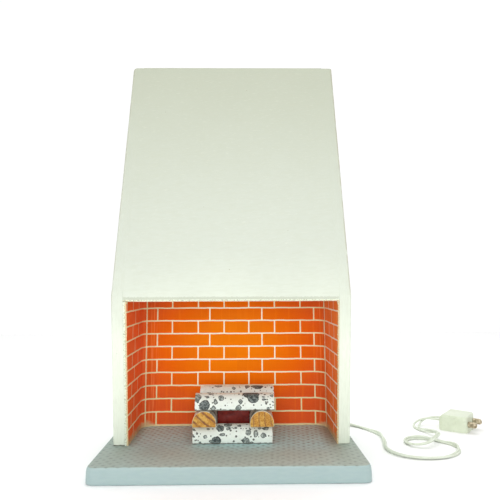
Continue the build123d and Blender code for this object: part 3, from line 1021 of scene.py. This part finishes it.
BEAD_STEP = 0.12 * MM
BEAD_DEPTH = 0.5 * MM
BEAD_REACH = {"left": 0.95 * MM, "right": 0.42 * MM}    # from the board towards the bricks
BEAD_DROP = 0.42 * MM           # from the hood's lip down over the card that closes the firebox
SEAM_SECTION = [(-0.4, 0.03), (-0.15, 0.0), (0.15, 0.0), (0.4, 0.03), (0.0, 0.4)]   # across, depth in mm
SEAM_SWELL = (-0.03, 0.006)     # how far the fillet stands out at the hood's bend and at its top, mm


def bead_section(reach):
    """Points of the bead's section as (across, depth), across from the board."""
    return [(0, 0.05 * MM), (0.5 * reach, 0), (0.9 * reach, 0.04 * MM), (reach, 0.16 * MM),
            (0.97 * reach, BEAD_DEPTH), (0, BEAD_DEPTH)]


def ragged_reach(reach, place, seed):
    """The bead's width at a place, uneven in long waves and in fine teeth."""
    wave = noise_at(place / (3 * MM), seed, 0)
    teeth = noise_at(place / (0.45 * MM), seed, 7)
    return reach + (0.12 * wave + 0.24 * teeth) * MM


def side_bead(plan, side, face_x, seed):
    """Sections up the front edge of a side board, as (width, rows of points)."""
    inward = 1 if side == "left" else -1
    for z in np.arange(plan.bottom, plan.top, BEAD_STEP):
        corner = 0.5 * MM * math.exp(-((plan.top - z) / (0.7 * MM)) ** 2)
        reach = ragged_reach(BEAD_REACH[side], z, seed) + corner
        front_y = front_edge(z)
        yield reach, [(face_x + inward * across, front_y + depth, z) for across, depth in bead_section(reach)]


def lip_bead(left_x, right_x):
    """Sections along the hood's lip, as (width, row of points)."""
    lip_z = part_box("lintel_batten")[0].z
    front_y = front_edge(lip_z)
    for x in np.arange(left_x, right_x, BEAD_STEP):
        reach = ragged_reach(BEAD_DROP, x, 5)
        yield reach, [(x, front_y + depth, lip_z - across) for across, depth in bead_section(reach)]


def seam_rows(seam_x):
    """A thin fillet of paint in the joint between the hood and a side board."""
    _, (bend_y, bend_z), (top_y, top_z) = front_profile("hood_front")
    length = math.hypot(top_y - bend_y, top_z - bend_z)
    up = Vector((0, top_y - bend_y, top_z - bend_z)) / length
    inward = Vector((0, up.z, -up.y))
    rows = []
    for distance in np.linspace(1.5 * MM, length - 0.6 * MM, int(length / (0.5 * MM))):
        swell = float(np.interp(distance, (0, length), SEAM_SWELL))
        place = Vector((seam_x, bend_y, bend_z)) + up * distance
        rows.append([place + (Vector((across, 0, 0)) + inward * (depth - swell)) * MM
                     for across, depth in SEAM_SECTION])
    return rows


def add_paint_bead():
    """Paint and glue that fill the gaps between the boards and the card, and the hood's seams."""
    plan = CardPlan()
    left_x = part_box("side_panel_left")[1].x
    right_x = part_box("side_panel_right")[0].x
    surface = Surface()
    shares = []
    for bead in (side_bead(plan, "left", left_x, 0), side_bead(plan, "right", right_x, 1),
                 lip_bead(left_x, right_x)):
        rows = []
        for reach, row in bead:
            rows.append(row)
            shares += [across / reach for across, _ in bead_section(reach)]
        surface.grid(rows, closed=True)
    for seam_x in (left_x, right_x):
        surface.grid(seam_rows(seam_x), look=1, closed=True)
    shares += [0.0] * (len(surface.points) - len(shares))
    mesh = surface.mesh("paint_bead", weld=False)
    set_values(mesh, across=shares)
    add_piece("paint_bead", mesh, [BEAD, CREAM], "painted_wood", sharp=60)


# ======================================================================
# The logs
# ======================================================================

# Spots on the logs that face the front: (along, down the round side from the
# crest, half width, half height), in millimetres.
SPOTS = {
    "front_upper": [
        (-11.2, 2.5, 1.0, 1.5), (-9.0, 5.0, 1.6, 1.6), (-8.3, 2.3, 0.7, 0.45), (-5.8, 3.9, 0.6, 0.9),
        (-6.4, 6.0, 0.55, 0.9), (-7.2, 0.6, 0.9, 0.6), (-4.1, 2.6, 0.85, 0.95), (1.8, 4.0, 0.6, 0.75),
        (1.2, 5.7, 0.8, 0.8), (5.0, 1.2, 2.5, 1.7), (5.6, 2.9, 1.7, 1.5), (8.8, 2.4, 0.5, 0.3),
        (8.9, 3.3, 0.45, 0.3), (11.4, 1.9, 0.5, 0.5), (10.1, 6.3, 0.35, 0.5), (-1.2, 6.5, 0.45, 0.4),
        (-2.0, -3.0, 1.2, 1.0), (8.0, -4.0, 1.4, 1.1), (2.5, -1.3, 0.5, 0.4),
    ],
    "front_lower": [
        (-3.7, 2.4, 1.15, 1.25), (-1.4, 0.8, 1.3, 1.0), (-1.1, 2.5, 0.8, 0.45), (-3.1, 4.3, 0.7, 0.4),
        (-8.1, 5.0, 0.55, 0.5), (-4.8, 6.1, 1.4, 1.2), (4.0, 6.3, 1.1, 1.0), (4.8, 3.8, 0.85, 0.85),
        (6.9, 4.2, 0.7, 0.95), (9.3, 4.7, 0.75, 0.75), (10.0, 2.6, 0.95, 0.55), (8.2, 2.6, 0.4, 0.4),
        (2.0, 1.5, 0.6, 0.4), (1.1, 2.3, 0.35, 0.25), (-11.6, 2.8, 0.4, 0.4), (-11.5, 5.0, 0.3, 0.3),
        (-7.3, 2.7, 0.4, 0.3), (-6.6, 6.3, 0.35, 0.45), (5.8, 6.8, 0.45, 0.4), (-9.7, 6.6, 0.4, 0.3),
    ],
    "back_upper": [
        (-6.1, 0.4, 1.3, 0.9), (-1.1, 1.9, 0.55, 0.65), (3.3, 0.9, 0.75, 1.0), (6.7, 0.9, 1.9, 1.4),
        (11.2, 1.9, 0.4, 0.6), (-9.5, 4.5, 1.3, 1.1), (1.0, 4.8, 1.5, 1.2), (-3.0, -2.8, 1.2, 1.3),
        (8.5, -3.0, 1.6, 1.2), (-8.0, -4.4, 0.9, 0.8), (3.8, -4.5, 0.9, 1.0), (0.5, -1.6, 0.5, 0.4),
    ],
}
HIDDEN_SPOTS = 16               # spots on a log that shows little
BARK_CELL = 0.2 * MM
CORE_SHRINK = 0.02 * MM
CORE_ARRIS = 0.1 * MM


def scattered_spots(length, reach, seed):
    """Spots for a log that shows little: sizes and places from a seeded draw."""
    draw = np.random.default_rng(seed)
    spots = []
    for _ in range(HIDDEN_SPOTS):
        width = draw.uniform(0.35, 1.4)
        spots.append((draw.uniform(-length / 2, length / 2), draw.uniform(-reach, reach),
                      width, width * draw.uniform(0.7, 1.1)))
    return spots


def nearest_spot(along, down, spots):
    """Millimetres from a place on the bark to the nearest spot, negative inside it, and its size."""
    nearest = (5.0, 0.0)
    for middle, level, half_width, half_height in spots:
        share = math.hypot((along - middle) / half_width, (down - level) / half_height)
        size = min(half_width, half_height)
        nearest = min(nearest, ((share - 1) * size, size))
    return nearest


class LogPlan:
    """A halved round stick: its middle, its axis and its section, read from the CAD bark and core."""

    def __init__(self, name, lengthwise):
        low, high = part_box(f"log_{name}_bark")
        self.name = name
        self.lengthwise = Vector(lengthwise)
        self.forward = Vector((0, -1, 0)) if self.lengthwise.x else Vector((1, 0, 0))
        size = high - low
        self.length = size.dot(self.lengthwise)
        self.radius = abs(size.dot(self.forward)) / 2
        self.flat_drop = size.z - self.radius
        middle = (low + high) / 2
        self.axis_point = Vector((middle.x, middle.y, high.z - self.radius))
        self.half_turn = math.acos(-self.flat_drop / self.radius)
        self.core_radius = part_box(f"log_{name}_core")[1].z - self.axis_point.z

    def place(self, along, angle, radius):
        """A point by its distance along the log and its angle from the crest, towards the front."""
        outward = UP * math.cos(angle) + self.forward * math.sin(angle)
        return self.axis_point + self.lengthwise * along + outward * radius

    def ring(self, outline, along, share):
        """The section's outline at a distance along the log, drawn in towards its middle by a share."""
        centre = UP * 0.6 * MM
        return [self.axis_point + self.lengthwise * along + centre.lerp(point, share) for point in outline]


def add_bark(plan, spots, paper, seed):
    """A sleeve of bark paper over the round side, with slightly ragged, lifting ends."""
    angles = np.linspace(-plan.half_turn, plan.half_turn, int(2 * plan.half_turn * plan.radius / BARK_CELL))
    outer = []
    inner = []
    for share in np.linspace(-1, 1, int(plan.length / BARK_CELL)):
        outer_row = []
        inner_row = []
        for angle in angles:
            ragged = noise_at(angle * 3, seed, share > 0) * 0.1 * MM
            tear = noise_at(angle * 11, seed, 5 + (share > 0)) * 0.05 * MM
            along = share * (plan.length / 2 - 0.12 * MM + ragged + tear)
            lift = (noise_at(along / (2.2 * MM), angle * 1.6, seed) * 0.05 - 0.04) * MM
            outer_row.append(plan.place(along, angle, plan.radius + lift))
            inner_row.append(plan.place(along, angle, plan.core_radius + lift))
        outer.append(outer_row)
        inner.append(inner_row)
    surface = Surface()
    surface.sheet(outer, inner, look=1)
    mesh = surface.mesh(f"bark_{plan.name}")
    offsets = [vertex.co - plan.axis_point for vertex in mesh.vertices]
    along = [offset.dot(plan.lengthwise) / MM for offset in offsets]
    down = [math.atan2(offset.dot(plan.forward), offset.z) * plan.radius / MM for offset in offsets]
    distances, sizes = zip(*[nearest_spot(*place, spots) for place in zip(along, down)])
    set_values(mesh, bark_along=np.array(along) + 40 * seed, bark_round=down,
               spot_distance=distances, spot_size=sizes,
               edge_distance=plan.half_turn * plan.radius / MM - np.abs(down))
    add_piece(f"bark_{plan.name}", mesh, [paper, PAPER_EDGE], "birch_bark_paper",
              [f"log_{plan.name}_bark"], sharp=50)


def add_core(plan, wood):
    """The stick itself, sawn flat below and at both ends, with saw marks on the ends."""
    radius = plan.core_radius - CORE_SHRINK
    half_turn = math.acos(-plan.flat_drop / radius)
    angles = np.linspace(-half_turn, half_turn, 40)
    outline = [plan.place(0, angle, radius) - plan.axis_point for angle in angles]
    outline += [outline[-1].lerp(outline[0], share) for share in np.linspace(0, 1, 12)[1:-1]]
    half = plan.length / 2 - 0.05 * MM
    drawn_in = 1 - CORE_ARRIS / radius
    sides = [(-half, drawn_in), (-half + CORE_ARRIS, 1.0), (0.0, 1.0),
             (half - CORE_ARRIS, 1.0), (half, drawn_in)]
    surface = Surface()
    surface.grid([plan.ring(outline, along, share) for along, share in sides], closed=True)
    for end in (-half, half):
        rings = [plan.ring(outline, end, share) for share in (drawn_in, 0.8, 0.6, 0.4, 0.2, 0.02)]
        surface.grid(rings, closed=True)
        surface.cap(rings[-1])
    mesh = surface.mesh(f"core_{plan.name}")
    for vertex in mesh.vertices:
        along = (vertex.co - plan.axis_point).dot(plan.lengthwise)
        if abs(along) > half - 0.01 * MM:
            mark = noise_at(vertex.co.x, vertex.co.y, vertex.co.z * 3, 1.5 * MM)
            vertex.co -= plan.lengthwise * math.copysign((0.5 + 0.5 * mark) * 0.06 * MM, along)
    add_piece(f"core_{plan.name}", mesh, [wood], "log_wood", [f"log_{plan.name}_core"], sharp=45)


def add_logs():
    """Six halved sticks in their bark paper."""
    front_white = birch_paper("birch_paper", (230, 237, 228))
    # Painted light: the back logs' paper is a paler, bluer white, making up for the shade and the bricks' red
    # light they sit in.
    back_white_painted_lighter = birch_paper("birch_paper_painted_lighter", (238, 253, 248))
    across = (1, 0, 0)
    backwards = (0, 1, 0)
    logs = [
        ("front_lower", across, front_white, (0, 0, 0), 0.8),
        ("back_lower", across, back_white_painted_lighter, (0, 0, 0), 0.8),
        ("front_upper", across, front_white, (0, 0, 0), 0.8),
        ("back_upper", across, back_white_painted_lighter, (0, 0, 0), 0.8),
        ("cross_left", backwards, front_white, (0, 52, 0), 0.8),
        ("cross_right", backwards, front_white, (0, 8, 0), 0.5),
    ]
    for seed, (name, lengthwise, paper, turn, strength) in enumerate(logs, start=1):
        plan = LogPlan(name, lengthwise)
        reach = plan.half_turn * plan.radius / MM
        spots = SPOTS.get(name) or scattered_spots(plan.length / MM, reach, seed)
        add_bark(plan, spots, paper, seed)
        add_core(plan, log_wood(f"log_wood_{name}", turn, 3.1 * seed, strength))


# ======================================================================
# Film, lamp and what is behind the brick card
# ======================================================================

FILM_THICKNESS = 0.15 * MM
FILM_BEND = 2.0 * MM


def add_film():
    """The red film: up behind the lower front log and bent back over the bulb, crumpled a little."""
    low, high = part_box("ember_film")
    flat_up = high.z - low.z - FILM_BEND
    arc = FILM_BEND * math.pi / 2
    total = flat_up + arc + high.y - low.y - FILM_BEND
    outer = []
    inner = []
    for distance in np.linspace(0, total, 60):
        folds = []
        for x in np.linspace(low.x, high.x, 46):
            crumple = noise_at(x / (2.6 * MM), distance / (2.0 * MM), 4.2)
            crease = abs(noise_at(x / (1.3 * MM), distance / (3.4 * MM), 9.7))
            fold = (0.16 * crumple + 0.14 * crease + 0.1) * MM * math.sin(math.pi * distance / total)
            folds.append((x, max(fold, 0.0)))
        outer.append([film_point(low, high, flat_up, arc, distance, x, fold) for x, fold in folds])
        inner.append([film_point(low, high, flat_up, arc, distance, x, fold + FILM_THICKNESS)
                      for x, fold in folds])
    surface = Surface()
    surface.sheet(outer, inner)
    add_piece("ember_film_crumpled", surface.mesh("ember_film_crumpled"), [FILM], "red_film", ["ember_film"])


def film_point(low, high, flat_up, arc, distance, x, inset):
    """A point of the film by its distance up and over from its lower edge."""
    if distance <= flat_up:
        return Vector((x, low.y + inset, low.z + distance))
    centre = Vector((x, low.y + FILM_BEND, high.z - FILM_BEND))
    if distance <= flat_up + arc:
        angle = (distance - flat_up) / FILM_BEND
        return centre + Vector((0, -math.cos(angle), math.sin(angle))) * (FILM_BEND - inset)
    return Vector((x, centre.y + distance - flat_up - arc, high.z - inset))


def add_bulb():
    """The bulb's glass, a thin wall round its filament."""
    start, radius, length = turned_node("bulb_glass")
    wall = 0.2 * MM
    inside = radius - wall
    turns = [math.radians(9 * k) for k in range(11)]
    profile = [(radius * (1 - math.cos(a)), radius * math.sin(a)) for a in turns]
    profile += [(length, radius), (length, inside)]
    profile += [(wall + inside * (1 - math.cos(a)), inside * math.sin(a)) for a in reversed(turns)]
    add_lathed("bulb_glass_blown", profile, start, GLASS, "bulb_glass", "bulb_glass")
    add_filament(start + Vector((0, length, 0)))


def add_filament(base):
    """Two posts and a thin bowed wire, in front of the place where the glass meets the cap."""
    half_width = 0.55 * MM
    reach = 3.4 * MM
    bow = 0.5 * MM
    surface = Surface()
    for side in (-1, 1):
        post = [base + Vector((side * half_width, -share * reach, 0)) for share in np.linspace(0, 1, 6)]
        surface.grid(tube_rows(post, 0.06 * MM, 8), closed=True)
    wire = [base + Vector((share * half_width, -reach - bow * (1 - share ** 2), 0))
            for share in np.linspace(-1, 1, 17)]
    surface.grid(tube_rows(wire, 0.06 * MM, 8), closed=True)
    add_piece("bulb_filament", surface.mesh("bulb_filament"), [TUNGSTEN], "brass")


def add_bulb_cap():
    """The brass cap with its thread."""
    start, radius, length = turned_node("bulb_cap")
    root = radius - 0.16 * MM
    first_turn = 0.6 * MM
    pitch = 0.62 * MM
    profile = [(0, 0), (0, root), (0.12 * MM, radius), (0.45 * MM, radius), (first_turn, root)]
    for turn in range(4):
        begin = first_turn + turn * pitch
        profile += [(begin + 0.2 * MM, root), (begin + 0.42 * MM, radius), (begin + pitch, root)]
    profile += [(length - 0.1 * MM, root), (length, root - 0.3 * MM), (length, 0)]
    add_lathed("bulb_cap_threaded", profile, start, BRASS, "brass", "bulb_cap")


def add_holder():
    """The black lamp holder: a socket through the card, a flange behind it and a boss for the lead."""
    start, flange, end = turned_node("lamp_holder")
    neck = 2.1 * MM
    bore = 1.8 * MM
    boss = 1.3 * MM
    soft = 0.1 * MM
    bore_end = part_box("bulb_cap")[1].y - start.y
    flange_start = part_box("brick_liner")[1].y - start.y
    flange_end = flange_start + 0.8 * MM
    profile = [
        (bore_end, 0), (bore_end, bore), (soft, bore), (0, bore + soft), (0, neck - soft), (soft, neck),
        (flange_start, neck), (flange_start, flange - soft), (flange_start + soft, flange),
        (flange_end - soft, flange), (flange_end, flange - soft), (flange_end, boss),
        (end - soft, boss), (end, boss - soft), (end, 0),
    ]
    add_lathed("lamp_holder_moulded", profile, start, BLACK_PLASTIC, "holder_plastic", "lamp_holder")


def add_bush():
    """The bush in the back board: a flange inside, a sleeve through the board and a hole for the lead."""
    start, flange, end = turned_node("cord_bush")
    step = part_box("back_panel")[0].y - start.y
    bore = 0.725 * MM
    sleeve = 1.5 * MM
    soft = 0.12 * MM
    profile = [
        (soft, bore), (0, bore + soft), (0, flange - soft), (soft, flange), (step - soft, flange),
        (step, flange - soft), (step, sleeve), (end - soft, sleeve), (end, sleeve - soft),
        (end, bore + 2 * soft), (end - 2 * soft, bore), (soft, bore),
    ]
    add_lathed("cord_bush_moulded", profile, start, BUSH_PLASTIC, "bush_plastic", "cord_bush")


# ======================================================================
# The lead and the plug
# ======================================================================

# How far a strand is to one side of the lead's middle near the plug, where the
# two wires part and cross: (distance from the plug, offset), in millimetres.
PARTING = [
    (0.0, 2.2), (3.0, 1.75), (5.5, 0.85), (8.0, 0.0),
    (10.0, -0.75), (12.0, -1.1), (14.5, -0.8), (17.0, -0.335),
]
CROSSING = 8.0                  # millimetres from the plug


def strand_offset(from_plug):
    """(sideways, upwards) from the lead's middle to the first strand; the second is on the other side."""
    places, offsets = zip(*PARTING)
    if from_plug < places[-1]:
        over = 0.37 * MM * math.exp(-((from_plug - CROSSING) / 2.2) ** 2)
        return float(np.interp(from_plug, places, offsets)) * MM, over
    run = from_plug - places[-1]
    twist = math.pi * (1 + run / 24 + 0.3 * math.sin(run / 8))
    return STRAND_GAP * math.cos(twist), STRAND_GAP * math.sin(twist)


def strands(line):
    """The middles of the lead's two strands, lying on the floor where the lead does."""
    along = distances_along(line)
    first = []
    second = []
    for place, (centre, side, lift) in zip(along, directions(line)):
        across, above = strand_offset((along[-1] - place) / MM)
        resting = min(max(1 - (centre.z - LEAD_REST) / (1.5 * MM), 0.0), 1.0)
        drop = resting * (STRAND_GAP - abs(above))
        middle = centre - UP * max(drop, 0.0)
        first.append(middle + side * across + lift * above)
        second.append(middle - side * across - lift * above)
    return first, second


def smoothed(points, rounds):
    """The points again with each one drawn towards its neighbours; the ends stay."""
    line = np.array([tuple(point) for point in points])
    for _ in range(rounds):
        line[1:-1] = (line[:-2] + 2 * line[1:-1] + line[2:]) / 4
    return line


def add_twin(name, node, two_strands, wave=0.0):
    """Two strands of lead side by side, as one piece."""
    surface = Surface()
    for strand in two_strands:
        surface.tube(tube_rows(strand, STRAND_RADIUS, 12, wave))
    return add_piece(name, surface.mesh(name), [LEAD_PLASTIC], "lead_plastic", [node])


PLUG_LENGTH = 9.8 * MM
SLOT_WIDTH = 0.95 * MM
SLOT_DEPTH = 1.7 * MM
SLOT_OVERRUN = 1.0 * MM         # how far a slot's cutter stands out behind the body


def plug_frame(line):
    """The plug's middle on the floor and its heading, from the end of the lead."""
    heading = Vector(LEAD_ROUTE[-1]) - Vector(LEAD_ROUTE[-2])
    heading.z = 0
    heading.normalize()
    matrix = Matrix((heading, -heading.cross(UP), UP)).transposed().to_4x4()
    place = Vector(line[-1]) + heading * PLUG_LENGTH / 2
    return Matrix.Translation(Vector((place.x, place.y, 0))) @ matrix


def block_object(centre, size, place):
    """A temporary box for cutting."""
    shape = bmesh.new()
    matrix = place @ Matrix.Translation(centre) @ Matrix.Diagonal((*size, 1))
    bmesh.ops.create_cube(shape, size=1.0, matrix=matrix)
    return put_in_scene("cutter", finished(shape, bpy.data.meshes.new("cutter")))


def cut(mesh, cutters):
    """The mesh with each cutter taken out of it."""
    body = put_in_scene("body", mesh)
    for cutter in cutters:
        difference = body.modifiers.new("cut", "BOOLEAN")
        difference.operation = "DIFFERENCE"
        difference.solver = "EXACT"
        difference.object = cutter
    bpy.context.view_layer.update()
    result = bpy.data.meshes.new_from_object(body.evaluated_get(bpy.context.evaluated_depsgraph_get()))
    for thing in [body, *cutters]:
        bpy.data.objects.remove(thing)
    return result


def add_plug_body(place, height):
    """The plug's body with a slot for each wire."""
    shape = whole_faces(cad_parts["plug_body"].data, 0.001 * MM)
    mesh = finished(shape, bpy.data.meshes.new("plug_shape"))
    size = (SLOT_DEPTH + SLOT_OVERRUN, SLOT_WIDTH, height / 2 + SLOT_WIDTH)
    middle = (SLOT_DEPTH - SLOT_OVERRUN - PLUG_LENGTH) / 2
    sides = (-PARTING[0][1] * MM, PARTING[0][1] * MM)
    mesh = cut(mesh, [block_object(Vector((middle, side, height * 3 / 4)), size, place) for side in sides])
    shape = whole_faces(mesh, 0.002 * MM)
    round_arrises(shape, 0.12 * MM)
    slice_up(shape, 1.2 * MM)
    finished(shape, mesh)
    make_uneven(mesh, 0.03 * MM, 4 * MM, 11)
    return add_piece("plug_body_moulded", mesh, [PLUG_PLASTIC], "plug_plastic", ["plug_body"], sharp=60,
                     weighted=True)


PIN_RADIUS = 1.0 * MM
PIN_LENGTH = 3.0 * MM
PIN_SPACING = 6.5 * MM
PIN_TANG = (3.9 * MM, 0.8 * MM)         # length inside the body, and radius


def add_pins(place, height):
    """Two round-ended brass pins."""
    inside, tang = PIN_TANG
    turns = [math.radians(10 * k) for k in range(10)]
    profile = [(-inside, 0), (-inside, tang), (0, tang), (0.02 * MM, PIN_RADIUS - 0.1 * MM),
               (0.12 * MM, PIN_RADIUS)]
    profile += [(PIN_LENGTH - PIN_RADIUS * (1 - math.sin(a)), PIN_RADIUS * math.cos(a)) for a in turns]
    surface = Surface()
    for side in (-1, 1):
        rows = []
        for along, radius in profile:
            centre = Vector((PLUG_LENGTH / 2 + along, side * PIN_SPACING / 2, height / 2))
            ring = circle(centre, Vector((0, 1, 0)), UP, radius, 36)
            rows.append([place @ point for point in ring])
        surface.grid(rows, closed=True)
    return add_piece("plug_pins_turned", surface.mesh("plug_pins_turned"), [BRASS], "brass", ["plug_pins"])


def add_leads():
    """The twin lead with its plug, and the lead inside the back."""
    line = smooth_line(LEAD_ROUTE, 0.5 * MM)
    parted = [smoothed(strand, 12) for strand in strands(line)]
    lead = add_twin("cord_lead_twin", "cord_lead", parted, wave=0.05)
    inner_line = smooth_line(INNER_ROUTE, 0.4 * MM)
    add_twin("inner_lead_twin", "inner_lead", [inner_line + (0, 0, side * STRAND_GAP) for side in (-1, 1)])
    place = plug_frame(line)
    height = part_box("plug_body")[1].z
    plug = add_plug_body(place, height)
    pins = add_pins(place, height)


# ======================================================================
# Floor and light
# ======================================================================

def add_floor():
    """A plain pale floor just under the object."""
    surface = Surface()
    side, front, back, drop = 450 * MM, -600 * MM, 420 * MM, -0.01 * MM
    surface.cap([(-side, front, drop), (side, front, drop), (side, back, drop), (-side, back, drop)])
    mesh = surface.mesh("floor")
    look = Look("floor_paper", roughness=0.9, specular=0.1)
    mesh.materials.append(look.paint(look.mix([249.31] * 3, [251.61] * 3, look.noise(0.01))))
    put_in_scene("floor", mesh)


def add_area_light(name, place, target, size, power):
    """A square soft box turned to a target; millimetres and watts."""
    data = bpy.data.lights.new(name, "AREA")
    data.size = size * MM
    data.energy = power
    light = put_in_scene(name, data)
    light.location = Vector(place) * MM
    direction = (Vector(target) - Vector(place)) * MM
    light.rotation_euler = direction.to_track_quat("-Z", "Y").to_euler()


def add_light():
    """White surroundings, dimmer towards the front, two soft boxes in front and one overhead."""
    world = bpy.data.worlds.new("white_room")
    world.use_nodes = True
    tree = world.node_tree
    background = tree.nodes["Background"]
    direction = tree.nodes.new("ShaderNodeSeparateXYZ")
    tree.links.new(tree.nodes.new("ShaderNodeTexCoord").outputs["Generated"], direction.inputs[0])
    towards_back = tree.nodes.new("ShaderNodeMapRange")
    towards_back.interpolation_type = "SMOOTHSTEP"
    tree.links.new(direction.outputs[1], towards_back.inputs["Value"])
    for name, number in (("From Min", -0.6), ("From Max", 0.5), ("To Min", 0.35), ("To Max", 1.03)):
        towards_back.inputs[name].default_value = number
    tree.links.new(towards_back.outputs[0], background.inputs["Strength"])
    background.inputs["Color"].default_value = (1, 1, 1, 1)
    bpy.context.scene.world = world
    add_area_light("low_front_box", (-20, -300, 20), (0, -10, 35), 170, 0.5)
    add_area_light("high_front_box", (30, -340, 230), (0, 0, 10), 260, 0.4)
    add_area_light("top_box", (20, 130, 700), (20, 130, 0), 900, 2.9)
    bpy.context.scene.view_settings.view_transform = "Standard"


# ======================================================================
# Making everything
# ======================================================================

add_leads()
add_base()
add_boards()
add_brick_card()
add_paint_bead()
add_logs()
add_film()
add_bulb()
add_bulb_cap()
add_holder()
add_bush()
add_floor()
add_light()
